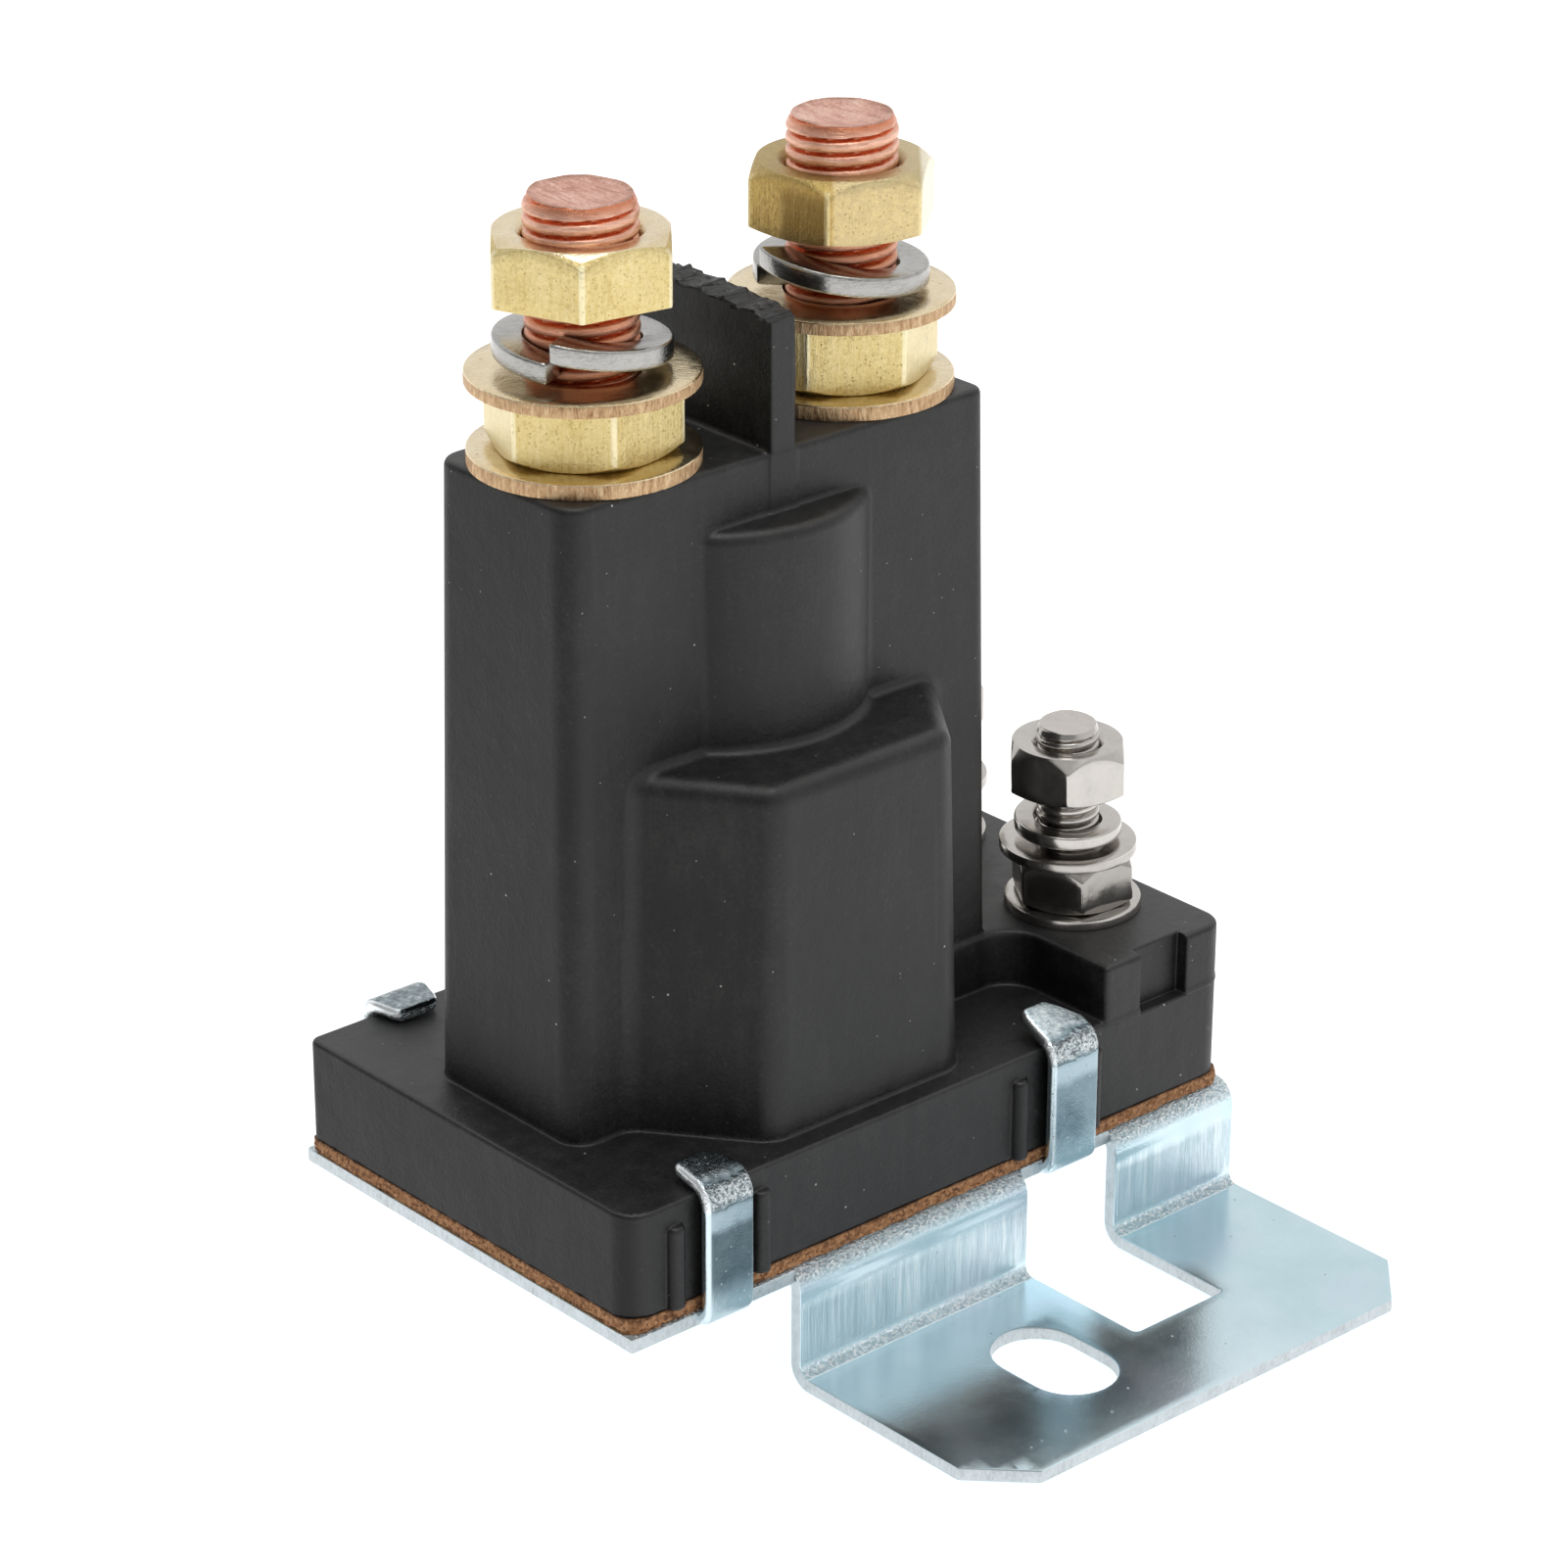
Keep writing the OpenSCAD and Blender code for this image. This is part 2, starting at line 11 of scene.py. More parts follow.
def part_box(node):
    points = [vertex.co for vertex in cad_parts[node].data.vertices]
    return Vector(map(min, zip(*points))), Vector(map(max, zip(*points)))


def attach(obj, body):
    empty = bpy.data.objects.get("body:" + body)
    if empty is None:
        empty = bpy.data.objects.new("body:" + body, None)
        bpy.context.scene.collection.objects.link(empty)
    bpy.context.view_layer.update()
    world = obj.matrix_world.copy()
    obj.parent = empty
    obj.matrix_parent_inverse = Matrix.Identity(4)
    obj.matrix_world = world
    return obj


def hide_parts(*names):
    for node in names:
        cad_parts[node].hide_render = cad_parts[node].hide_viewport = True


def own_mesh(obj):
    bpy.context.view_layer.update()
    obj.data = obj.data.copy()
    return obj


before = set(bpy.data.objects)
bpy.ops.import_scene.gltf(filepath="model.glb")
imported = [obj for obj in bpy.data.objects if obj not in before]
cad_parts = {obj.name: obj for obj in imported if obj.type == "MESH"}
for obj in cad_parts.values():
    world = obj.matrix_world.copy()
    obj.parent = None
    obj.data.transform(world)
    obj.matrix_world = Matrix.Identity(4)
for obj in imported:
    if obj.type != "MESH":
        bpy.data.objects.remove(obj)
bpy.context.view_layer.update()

MM = 0.001
scene = bpy.context.scene

# ---------- dimensions, as in the CAD source ----------
CX = -5.76
XS = (CX - 12.27, CX + 12.27)
XC = 23.3
CY = 8.55
Z_PLATE, Z_CORK, Z_BASE, Z_PLAT, Z_TOP = 9.9, 10.95, 19.4, 24.0, 68.7
SHEET = 1.1


# ---------- procedural materials ----------
class Mat:
    """A Principled material whose colour, roughness and bump come from nodes. Texture space is the row frame in millimetres."""

    def __init__(self, name, **sockets):
        self.m = bpy.data.materials.new(name)
        self.m.use_nodes = True
        self.t = self.m.node_tree
        self.t.nodes.clear()
        self.out = self.t.nodes.new("ShaderNodeOutputMaterial")
        self.b = self.t.nodes.new("ShaderNodeBsdfPrincipled")
        self.t.links.new(self.b.outputs[0], self.out.inputs["Surface"])
        for k, v in sockets.items():
            self.b.inputs[k.replace("_", " ")].default_value = v
        self.co = self.t.nodes.new("ShaderNodeTexCoord")
        self.p = self.vmul(self.co.outputs["Object"], (1000.0, 1000.0, 1000.0))
        self.x, self.y, self.z = self.split(self.p)
        self.normal = None

    def put(self, socket, v):
        if isinstance(v, bpy.types.NodeSocket):
            self.t.links.new(v, socket)
        elif hasattr(v, "__len__") and len(v) == 3 and socket.type == "RGBA":
            socket.default_value = (*v, 1.0)
        else:
            socket.default_value = v

    def vmul(self, v, k):
        n = self.t.nodes.new("ShaderNodeVectorMath")
        n.operation = "MULTIPLY"
        self.put(n.inputs[0], v)
        n.inputs[1].default_value = k
        return n.outputs[0]

    def vadd(self, v, k):
        n = self.t.nodes.new("ShaderNodeVectorMath")
        n.operation = "ADD"
        self.put(n.inputs[0], v)
        self.put(n.inputs[1], k)
        return n.outputs[0]

    def split(self, v):
        n = self.t.nodes.new("ShaderNodeSeparateXYZ")
        self.put(n.inputs[0], v)
        return n.outputs[0], n.outputs[1], n.outputs[2]

    def math(self, op, a, b=0.0, clamp=False):
        n = self.t.nodes.new("ShaderNodeMath")
        n.operation = op
        n.use_clamp = clamp
        self.put(n.inputs[0], a)
        self.put(n.inputs[1], b)
        return n.outputs[0]

    def add(self, a, b):
        return self.math("ADD", a, b)

    def mul(self, a, b):
        return self.math("MULTIPLY", a, b)

    def band(self, v, a, b, soft):
        """1 where v lies between a and b, fading over soft."""
        up = self.rng(v, a - soft, a + soft, 0.0, 1.0)
        down = self.rng(v, b - soft, b + soft, 1.0, 0.0)
        return self.mul(up, down)

    def rng(self, v, a, b, c, d):
        n = self.t.nodes.new("ShaderNodeMapRange")
        n.interpolation_type = "SMOOTHSTEP"
        self.put(n.inputs[0], v)
        for i, k in enumerate((a, b, c, d)):
            n.inputs[1 + i].default_value = k
        return n.outputs[0]

    def noise(self, per_mm, detail=3.0, rough=0.55, stretch=(1, 1, 1), warp=0.0, v=None):
        n = self.t.nodes.new("ShaderNodeTexNoise")
        self.put(n.inputs["Vector"], self.vmul(v or self.p, tuple(per_mm * s for s in stretch)))
        n.inputs["Scale"].default_value = 1.0
        n.inputs["Detail"].default_value = detail
        n.inputs["Roughness"].default_value = rough
        n.inputs["Distortion"].default_value = warp
        return n.outputs[0]

    def cells(self, per_mm, stretch=(1, 1, 1), randomness=1.0):
        n = self.t.nodes.new("ShaderNodeTexVoronoi")
        self.put(n.inputs["Vector"], self.vmul(self.p, tuple(per_mm * s for s in stretch)))
        n.inputs["Scale"].default_value = 1.0
        n.inputs["Randomness"].default_value = randomness
        return n.outputs["Distance"], n.outputs["Color"]

    def specks(self, per_mm, radius_mm, share, stretch=(1, 1, 1)):
        """A sparse field of dots: 1 inside a dot."""
        d, c = self.cells(per_mm, stretch)
        r, g, _ = self.split(c)
        dot = self.rng(d, radius_mm * per_mm * 0.5, radius_mm * per_mm, 1.0, 0.0)
        return self.mul(dot, self.rng(r, 1 - share - 0.01, 1 - share + 0.01, 0.0, 1.0))

    def ramp(self, fac, *stops):
        n = self.t.nodes.new("ShaderNodeValToRGB")
        self.put(n.inputs[0], fac)
        e = n.color_ramp.elements
        while len(e) < len(stops):
            e.new(0.5)
        for el, (pos, col) in zip(e, stops):
            el.position = pos
            el.color = (*col, 1.0) if hasattr(col, "__len__") else (col, col, col, 1.0)
        return n.outputs[0]

    def mix(self, fac, a, b, mode="MIX"):
        n = self.t.nodes.new("ShaderNodeMix")
        n.data_type = "RGBA"
        n.blend_type = mode
        self.put(n.inputs[0], fac)
        self.put(n.inputs[6], a)
        self.put(n.inputs[7], b)
        return n.outputs[2]

    def bump(self, height, mm, strength=1.0):
        n = self.t.nodes.new("ShaderNodeBump")
        n.inputs["Strength"].default_value = strength
        n.inputs["Distance"].default_value = mm * MM
        self.put(n.inputs["Height"], height)
        if self.normal is not None:
            self.put(n.inputs["Normal"], self.normal)
        self.normal = n.outputs[0]

    def done(self, colour, rough=None):
        self.put(self.b.inputs["Base Color"], colour)
        if rough is not None:
            self.put(self.b.inputs["Roughness"], rough)
        if self.normal is not None:
            self.put(self.b.inputs["Normal"], self.normal)
        return self.m


def mat_phenolic():
    m = Mat("phenolic", Roughness=0.5, IOR=1.5)
    broad = m.noise(0.09, 4, 0.6)
    mid = m.noise(0.55, 5, 0.65)
    fine = m.noise(3.2, 4, 0.7)
    flow = m.noise(0.9, 4, 0.6, stretch=(1, 1, 0.16))
    tone = m.add(m.add(m.mul(broad, 0.25), m.mul(mid, 0.27)), m.add(m.mul(fine, 0.33), m.mul(flow, 0.15)))
    col = m.ramp(tone, (0.36, (0.0015, 0.0015, 0.0015)), (0.50, (0.0075, 0.0074, 0.0072)), (0.64, (0.022, 0.0216, 0.0208)))
    grey = m.specks(1.3, 0.16, 0.16)
    col = m.mix(m.mul(grey, 0.25), col, (0.05, 0.05, 0.05))
    dust = m.specks(0.42, 0.11, 0.36)
    dust2 = m.specks(0.9, 0.075, 0.30)
    col = m.mix(m.math("MAXIMUM", m.mul(dust, 0.85), m.mul(dust2, 0.6)), col, (0.42, 0.42, 0.40))
    scratch = m.rng(m.noise(1.3, 3, 0.6, stretch=(1.0, 1.0, 0.05), warp=0.6), 0.66, 0.74, 0.0, 1.0)
    col = m.mix(m.mul(scratch, 0.10), col, (0.07, 0.07, 0.07))
    rough = m.add(m.mul(mid, 0.22), m.add(m.mul(fine, 0.14), 0.30))
    # reflection strength set by facing: lowered on faces turned to -X as painted shade, raised on upward faces as
    # painted sheen
    geo = m.t.nodes.new("ShaderNodeNewGeometry")
    nx, ny, nz = m.split(geo.outputs["Normal"])
    side_shade_top_sheen = m.add(m.rng(nx, -0.95, -0.35, 0.26, 0.44), m.rng(nz, 0.55, 0.95, 0.0, 0.30))
    m.put(m.b.inputs["Specular IOR Level"], side_shade_top_sheen)
    m.bump(fine, 0.030)
    m.bump(mid, 0.06)
    m.bump(broad, 0.10)
    return m.done(col, rough)


def mat_flash():
    m = Mat("phenolic_flash", Roughness=0.42, IOR=1.5)
    n = m.noise(2.5, 3, 0.6)
    col = m.ramp(n, (0.35, (0.012, 0.012, 0.013)), (0.7, (0.05, 0.05, 0.052)))
    m.bump(n, 0.03)
    return m.done(col, m.rng(n, 0.3, 0.7, 0.35, 0.55))


def mat_cork():
    m = Mat("cork", Roughness=0.9)
    d, c = m.cells(4.2)
    r, g, b = m.split(c)
    n = m.noise(3.5, 5, 0.7)
    n2 = m.noise(0.7, 3, 0.6)
    f = m.add(m.mul(r, 0.45), m.add(m.mul(n, 0.45), m.mul(n2, 0.25)))
    col = m.ramp(f, (0.28, (0.09, 0.037, 0.015)), (0.44, (0.22, 0.094, 0.036)), (0.60, (0.34, 0.16, 0.066)), (0.82, (0.47, 0.25, 0.12)))
    # darker in patches towards the top edge
    top_darkening = m.rng(m.add(m.z, m.mul(n2, 0.5)), 11.0, 11.25, 0.0, 0.55)
    col = m.mix(top_darkening, col, (0.06, 0.028, 0.015))
    m.bump(n, 0.12)
    m.bump(d, 0.06)
    return m.done(col, m.rng(n, 0.3, 0.7, 0.8, 0.97))


def mat_zinc():
    m = Mat("zinc", Metallic=1.0, Roughness=0.25)
    grain = m.noise(5.0, 4, 0.7)
    cloud = m.noise(0.20, 3, 0.5)
    tint = m.noise(0.10, 2, 0.5)
    col = m.ramp(m.add(m.mul(cloud, 0.7), m.mul(grain, 0.3)), (0.30, (0.62, 0.76, 0.82)), (0.55, (0.70, 0.84, 0.895)), (0.8, (0.78, 0.90, 0.94)))
    col = m.mix(m.rng(tint, 0.52, 0.66, 0.0, 0.18), col, (0.74, 0.66, 0.82))
    dark = m.specks(0.9, 0.15, 0.13)
    col = m.mix(m.mul(dark, 0.35), col, (0.30, 0.34, 0.38))
    ay = m.math("ABSOLUTE", m.y)
    # drawn lines where the sheet was pulled over the die: on the webs
    web = m.mul(m.band(ay, 18.6, 21.0, 0.25), m.band(m.z, 2.2, 7.0, 0.6))
    lines = m.noise(4.5, 3, 0.75, stretch=(1.0, 0.05, 0.03))
    lines2 = m.noise(1.2, 2, 0.6, stretch=(1.0, 0.05, 0.05))
    ln = m.add(m.mul(lines, 0.65), m.mul(lines2, 0.35))
    # sparkling coat on the outside of the top bend and the inside of the bottom bend
    knurl = m.noise(4.2, 3, 0.75)
    bend_top = m.mul(m.band(ay, 18.4, 20.2, 0.3), m.rng(m.z, 8.2, 9.2, 0.0, 0.75))
    bend_low = m.mul(m.band(ay, 20.15, 20.87, 0.12), m.rng(m.z, 1.75, 2.1, 1.0, 0.0))
    # painted reflection: the feet darken towards +X
    col = m.mix(m.mul(m.rng(m.x, 10.0, 22.0, 0.0, 1.0), m.rng(m.z, 1.5, 2.5, 1.0, 0.0)), col, (0.84, 0.90, 0.91), "MULTIPLY")
    spark = m.math("MAXIMUM", bend_top, bend_low)
    col = m.mix(m.mul(m.band(ay, 18.4, 21.3, 0.3), m.rng(m.z, 6.2, 7.8, 0.0, 1.0)), col, (0.84, 0.875, 0.885), "MULTIPLY")
    rough = m.add(m.rng(cloud, 0.3, 0.7, 0.15, 0.20), m.mul(grain, 0.06))
    rough = m.add(rough, m.mul(web, 0.12))
    m.bump(m.mul(ln, web), 0.20)
    m.bump(m.mul(knurl, spark), 0.40)
    m.bump(grain, 0.008)
    m.bump(cloud, 0.010)
    m.bump(m.mul(dark, -1.0), 0.02)
    col = m.mix(m.mul(web, m.rng(ln, 0.35, 0.60, 0.50, 0.0)), col, (0.40, 0.52, 0.57))
    col = m.mix(m.mul(web, m.rng(ln, 0.52, 0.66, 0.0, 0.7)), col, (0.93, 0.97, 0.98))
    col = m.mix(m.mul(m.math("MAXIMUM", bend_top, m.mul(bend_low, 0.45)), m.rng(knurl, 0.38, 0.49, 0.75, 0.0)), col, (0.26, 0.31, 0.33))
    col = m.mix(m.mul(spark, m.rng(knurl, 0.49, 0.58, 0.0, 1.0)), col, (0.97, 0.98, 0.98))
    return m.done(col, rough)


def mat_zinc_tab():
    """The clinch tabs: a smooth face painted dark as a dark reflection, a sparkling fold and a flank with a painted
    highlight.
    """
    m = Mat("zinc_tab", Metallic=1.0, Roughness=0.25)
    grain = m.noise(5.0, 4, 0.7)
    cloud = m.noise(0.7, 3, 0.6)
    knurl = m.noise(3.6, 3, 0.75)
    dots = m.specks(2.2, 0.10, 0.30)
    # painted shade: the face is darker on the left tabs (low) than on the right ones
    low = m.rng(m.x, -8.0, 0.0, 0.53, 0.86)
    face = m.ramp(m.add(m.mul(cloud, 0.6), m.mul(grain, 0.4)), (0.30, (0.17, 0.245, 0.285)), (0.55, (0.235, 0.33, 0.375)), (0.8, (0.33, 0.43, 0.48)))
    scale = m.t.nodes.new("ShaderNodeCombineXYZ")
    for i in range(3):
        m.put(scale.inputs[i], low)
    face = m.mix(1.0, face, scale.outputs[0], "MULTIPLY")
    # painted reflection: lighter towards the root, and a painted highlight band again where the fold starts
    col = m.mix(m.rng(m.z, 10.2, 13.0, 0.75, 0.0), face, (0.52, 0.66, 0.72))
    wavy = m.add(m.z, m.mul(cloud, 0.9))
    col = m.mix(m.mul(m.band(wavy, 17.2, 18.9, 0.5), 0.75), col, (0.42, 0.53, 0.59))
    fold = m.band(wavy, 19.1, 20.6, 0.25)
    col = m.mix(fold, col, (0.68, 0.76, 0.79))
    col = m.mix(m.mul(fold, m.rng(knurl, 0.42, 0.52, 0.85, 0.0)), col, (0.10, 0.12, 0.13))
    col = m.mix(m.mul(fold, m.rng(knurl, 0.54, 0.62, 0.0, 0.9)), col, (0.97, 0.98, 0.98))
    # painted reflection on the top of the fold: darker on the left tabs, lighter on the right ones
    top = m.rng(wavy, 20.7, 21.1, 0.0, 1.0)
    soft = m.add(m.mul(m.noise(1.3, 3, 0.6), 0.7), m.mul(knurl, 0.3))
    top_dark_reflection = m.ramp(soft, (0.40, (0.16, 0.195, 0.21)), (0.54, (0.30, 0.35, 0.37)), (0.66, (0.58, 0.63, 0.65)))
    light = m.ramp(soft, (0.38, (0.34, 0.42, 0.45)), (0.50, (0.58, 0.67, 0.70)), (0.66, (0.80, 0.87, 0.89)))
    col = m.mix(top, col, m.mix(m.rng(m.x, -8.0, 0.0, 0.0, 1.0), top_dark_reflection, light))
    # bevelled flanks with a painted highlight: lighter where the normal turns to ±X, near white just above the fold
    # start
    side = m.t.nodes.new("ShaderNodeNewGeometry")
    nx, ny, nz = m.split(side.outputs["Normal"])
    flank = m.rng(m.math("ABSOLUTE", nx), 0.28, 0.60, 0.0, 1.0)
    col = m.mix(flank, col, (0.64, 0.75, 0.80))
    col = m.mix(m.mul(flank, m.rng(m.z, 18.2, 18.9, 0.0, 0.8)), col, (0.95, 0.97, 0.98))
    col = m.mix(m.mul(dots, 0.8), col, (0.60, 0.70, 0.76))
    rugged = m.mul(m.math("MAXIMUM", fold, m.mul(top, 0.14)), m.add(1.0, m.mul(flank, -0.8)))
    m.bump(m.mul(knurl, rugged), 0.50)
    m.bump(grain, 0.014)
    m.bump(cloud, 0.03)
    m.bump(dots, 0.06)
    return m.done(col, m.add(m.rng(cloud, 0.3, 0.7, 0.14, 0.22), m.mul(grain, 0.08)))


def mat_brass(name, axis, turn, painted_shading=False, pale=()):
    """Machined brass of one hexagon nut about the vertical through x = axis, with a corner at turn degrees."""
    m = Mat(name, Metallic=1.0, Roughness=0.35)
    grain = m.noise(3.4, 5, 0.72)
    streak = m.noise(2.6, 4, 0.7, stretch=(1.0, 1.0, 0.10))
    cloud = m.noise(0.35, 3, 0.6)
    salt = m.noise(7.0, 2, 0.6)
    f = m.add(m.add(m.mul(grain, 0.40), m.mul(salt, 0.14)), m.add(m.mul(streak, 0.30), m.mul(cloud, 0.16)))
    col = m.ramp(f, (0.34, (0.44, 0.315, 0.115)), (0.46, (0.68, 0.545, 0.245)), (0.56, (0.80, 0.675, 0.355)), (0.70, (0.90, 0.80, 0.50)))
    pits = m.specks(1.5, 0.16, 0.16, stretch=(1, 1, 0.6))
    pits2 = m.specks(4.0, 0.08, 0.30)
    p = m.math("MAXIMUM", m.mul(pits, 0.6), pits2)
    dx = m.add(m.x, -axis)
    rr = m.math("SQRT", m.add(m.mul(dx, dx), m.mul(m.y, m.y)))
    th = m.add(m.math("ARCTAN2", m.y, dx), -math.radians(turn))
    facet = m.math("FLOOR", m.mul(th, 3 / math.pi))
    # a tone of its own for each flat
    own = m.math("FRACT", m.mul(m.add(facet, 9.0), 0.618))
    col = m.mix(m.mul(own, 0.22), col, (0.60, 0.44, 0.15))
    # painted highlight: the flats listed in pale are painted pale
    for k in pale:
        col = m.mix(m.mul(m.math("COMPARE", m.math("FLOORED_MODULO", facet, 6.0), float(k)), 0.40), col, (0.84, 0.78, 0.58))
    if painted_shading:
        # upper nut of the right stud: painted shade, a darker, browner face with dark mottles that falls off towards
        # the front corner
        s = m.add(m.mul(dx, 0.749), m.mul(m.y, -0.663))
        col = m.mix(1.0, col, (0.84, 0.73, 0.53), "MULTIPLY")
        mottle = m.noise(2.2, 4, 0.7)
        col = m.mix(m.rng(mottle, 0.42, 0.56, 0.42, 0.0), col, (0.36, 0.25, 0.09))
        # painted shade in a band left of the front corner
        shade = m.mul(m.band(s, -4.4, -1.05, 0.45), m.rng(m.z, 84.6, 85.6, 1.0, 0.0))
        shade = m.mul(shade, m.rng(m.z, 81.6, 84.4, 1.0, 0.75))
        col = m.mix(m.mul(shade, 0.80), col, (0.20, 0.125, 0.035))
        # painted shade: darker towards the bottom and at the top
        col = m.mix(m.rng(m.z, 81.2, 82.6, 0.40, 0.0), col, (0.24, 0.16, 0.05))
        col = m.mix(m.mul(m.rng(m.z, 85.3, 86.1, 0.0, 1.0), 0.5), col, (0.36, 0.27, 0.11))
        # painted highlights on the flat right of the front corner and on the far right edge
        col = m.mix(m.rng(s, -0.9, -0.5, 0.0, 0.28), col, (0.95, 0.87, 0.62))
        col = m.mix(m.rng(s, 5.5, 5.9, 0.0, 0.85), col, (0.95, 0.89, 0.72))
    col = m.mix(m.mul(p, 0.38), col, (0.36, 0.23, 0.07))
    # painted highlight along the hex corners, with some wear
    corner = m.mul(m.rng(m.math("COSINE", m.mul(th, 6.0)), 0.975, 0.992, 0.0, 1.0), m.rng(rr, 6.75, 6.95, 0.0, 1.0))
    col = m.mix(m.mul(corner, 0.6), col, (0.97, 0.90, 0.64) if not painted_shading else (0.80, 0.68, 0.38))
    rough = m.add(m.rng(streak, 0.3, 0.7, 0.24, 0.36), m.mul(grain, 0.12))
    m.bump(streak, 0.08)
    m.bump(grain, 0.07)
    m.bump(m.mul(p, -1.0), 0.03)
    m.bump(cloud, 0.14)
    return m.done(col, rough)


def mat_champagne():
    """Face of the load washers and the turned top of the nuts."""
    m = Mat("brass_face", Metallic=1.0, Roughness=0.22)
    cloud = m.noise(0.5, 4, 0.65)
    grain = m.noise(4.0, 4, 0.7)
    col = m.ramp(m.add(m.mul(cloud, 0.6), m.mul(grain, 0.4)), (0.3, (0.66, 0.52, 0.31)), (0.55, (0.81, 0.68, 0.45)), (0.8, (0.90, 0.80, 0.60)))
    dots = m.specks(0.8, 0.16, 0.22)
    col = m.mix(m.mul(dots, 0.6), col, (0.34, 0.21, 0.08))
    m.bump(grain, 0.014)
    m.bump(cloud, 0.08)
    return m.done(col, m.rng(cloud, 0.3, 0.7, 0.16, 0.27))


def mat_rim(name, dark, mid, light):
    """Sheared rim of a stamped washer: coarse upright tears."""
    m = Mat(name, Metallic=1.0, Roughness=0.45)
    tears = m.noise(3.0, 4, 0.75, stretch=(1.0, 1.0, 0.22), warp=0.4)
    fine = m.noise(8.0, 3, 0.7, stretch=(1.0, 1.0, 0.3))
    f = m.add(m.mul(tears, 0.7), m.mul(fine, 0.3))
    col = m.ramp(f, (0.36, dark), (0.50, mid), (0.64, light))
    m.bump(tears, 0.20)
    m.bump(fine, 0.06)
    return m.done(col, m.rng(f, 0.3, 0.7, 0.36, 0.6))


def mat_copper():
    """Thread: paler crests, orange flanks. The thread itself is geometry."""
    m = Mat("copper_thread", Metallic=1.0, Roughness=0.3)
    ax = m.math("ABSOLUTE", m.add(m.x, -CX))
    dx = m.add(ax, -12.27)
    rr = m.math("SQRT", m.add(m.mul(dx, dx), m.mul(m.y, m.y)))
    grain = m.noise(4.5, 4, 0.7)
    ring = m.noise(1.6, 4, 0.7, stretch=(0.5, 0.5, 3.0))
    high = m.rng(rr, 3.70, 4.12, 0.0, 1.0)
    col = m.mix(high, (0.70, 0.25, 0.13), (0.90, 0.55, 0.41))
    col = m.mix(m.rng(ring, 0.36, 0.6, 0.45, 0.0), col, (0.50, 0.18, 0.11))
    # painted shade on the thread between the lock washer and the nut
    col = m.mix(m.rng(m.z, 80.5, 82.0, 0.55, 0.0), col, (0.52, 0.17, 0.075))
    dark = m.specks(1.8, 0.14, 0.2, stretch=(1, 1, 2))
    col = m.mix(m.mul(dark, 0.5), col, (0.20, 0.08, 0.05))
    m.bump(grain, 0.03)
    m.bump(ring, 0.05)
    return m.done(col, m.add(m.rng(grain, 0.3, 0.7, 0.22, 0.36), m.mul(high, 0.06)))


def mat_copper_end():
    m = Mat("copper_end", Metallic=1.0, Roughness=0.45)
    grain = m.noise(4.0, 5, 0.75)
    score = m.noise(2.4, 4, 0.7, stretch=(1.0, 0.12, 1.0), warp=0.5)
    cloud = m.noise(0.45, 3, 0.6)
    f = m.add(m.mul(grain, 0.4), m.add(m.mul(score, 0.4), m.mul(cloud, 0.2)))
    col = m.ramp(f, (0.36, (0.40, 0.17, 0.12)), (0.5, (0.76, 0.44, 0.35)), (0.62, (0.95, 0.72, 0.62)))
    dx = m.add(m.math("ABSOLUTE", m.add(m.x, -CX)), -12.27)
    rr = m.math("SQRT", m.add(m.mul(dx, dx), m.mul(m.y, m.y)))
    col = m.mix(m.mul(m.rng(rr, 3.0, 3.55, 0.0, 1.0), m.rng(cloud, 0.40, 0.60, 0.75, 0.15)), col, (0.42, 0.22, 0.15))
    m.bump(score, 0.26)
    m.bump(grain, 0.14)
    m.bump(cloud, 0.25)
    return m.done(col, m.rng(f, 0.35, 0.65, 0.34, 0.50))


def mat_steel(name, tone, rough0, rough1, brushed=(1.0, 1.0, 0.2), tint=(1.0, 1.0, 1.0), bump=0.03, spread=1.0):
    m = Mat(name, Metallic=1.0, Roughness=rough0)
    grain = m.noise(4.0, 4, 0.7)
    brush = m.noise(3.2, 4, 0.7, stretch=brushed)
    cloud = m.noise(0.5, 3, 0.6)
    f = m.add(m.mul(brush, 0.5), m.add(m.mul(grain, 0.25), m.mul(cloud, 0.25)))
    lo, mid, hi = (tuple(tone * k * c for c in tint) for k in (1 - 0.34 * spread, 1.0, 1 + 0.22 * spread))
    col = m.ramp(f, (0.32, lo), (0.5, mid), (0.68, hi))
    dots = m.specks(1.3, 0.12, 0.16)
    col = m.mix(m.mul(dots, 0.5), col, tuple(0.25 * c for c in tint))
    m.bump(brush, bump)
    m.bump(grain, bump * 0.5)
    m.bump(cloud, 0.05 * spread)
    return m.done(col, m.rng(f, 0.35, 0.65, rough0, rough1))


def mat_plain(name, a, b, rough, metal=0.0, scale=1.5, bump=0.03, stretch=(1, 1, 1)):
    m = Mat(name, Metallic=metal, Roughness=rough)
    n = m.noise(scale, 4, 0.65, stretch=stretch)
    m.bump(n, bump)
    return m.done(m.ramp(n, (0.35, a), (0.65, b)), m.rng(n, 0.3, 0.7, rough - 0.06, rough + 0.08))


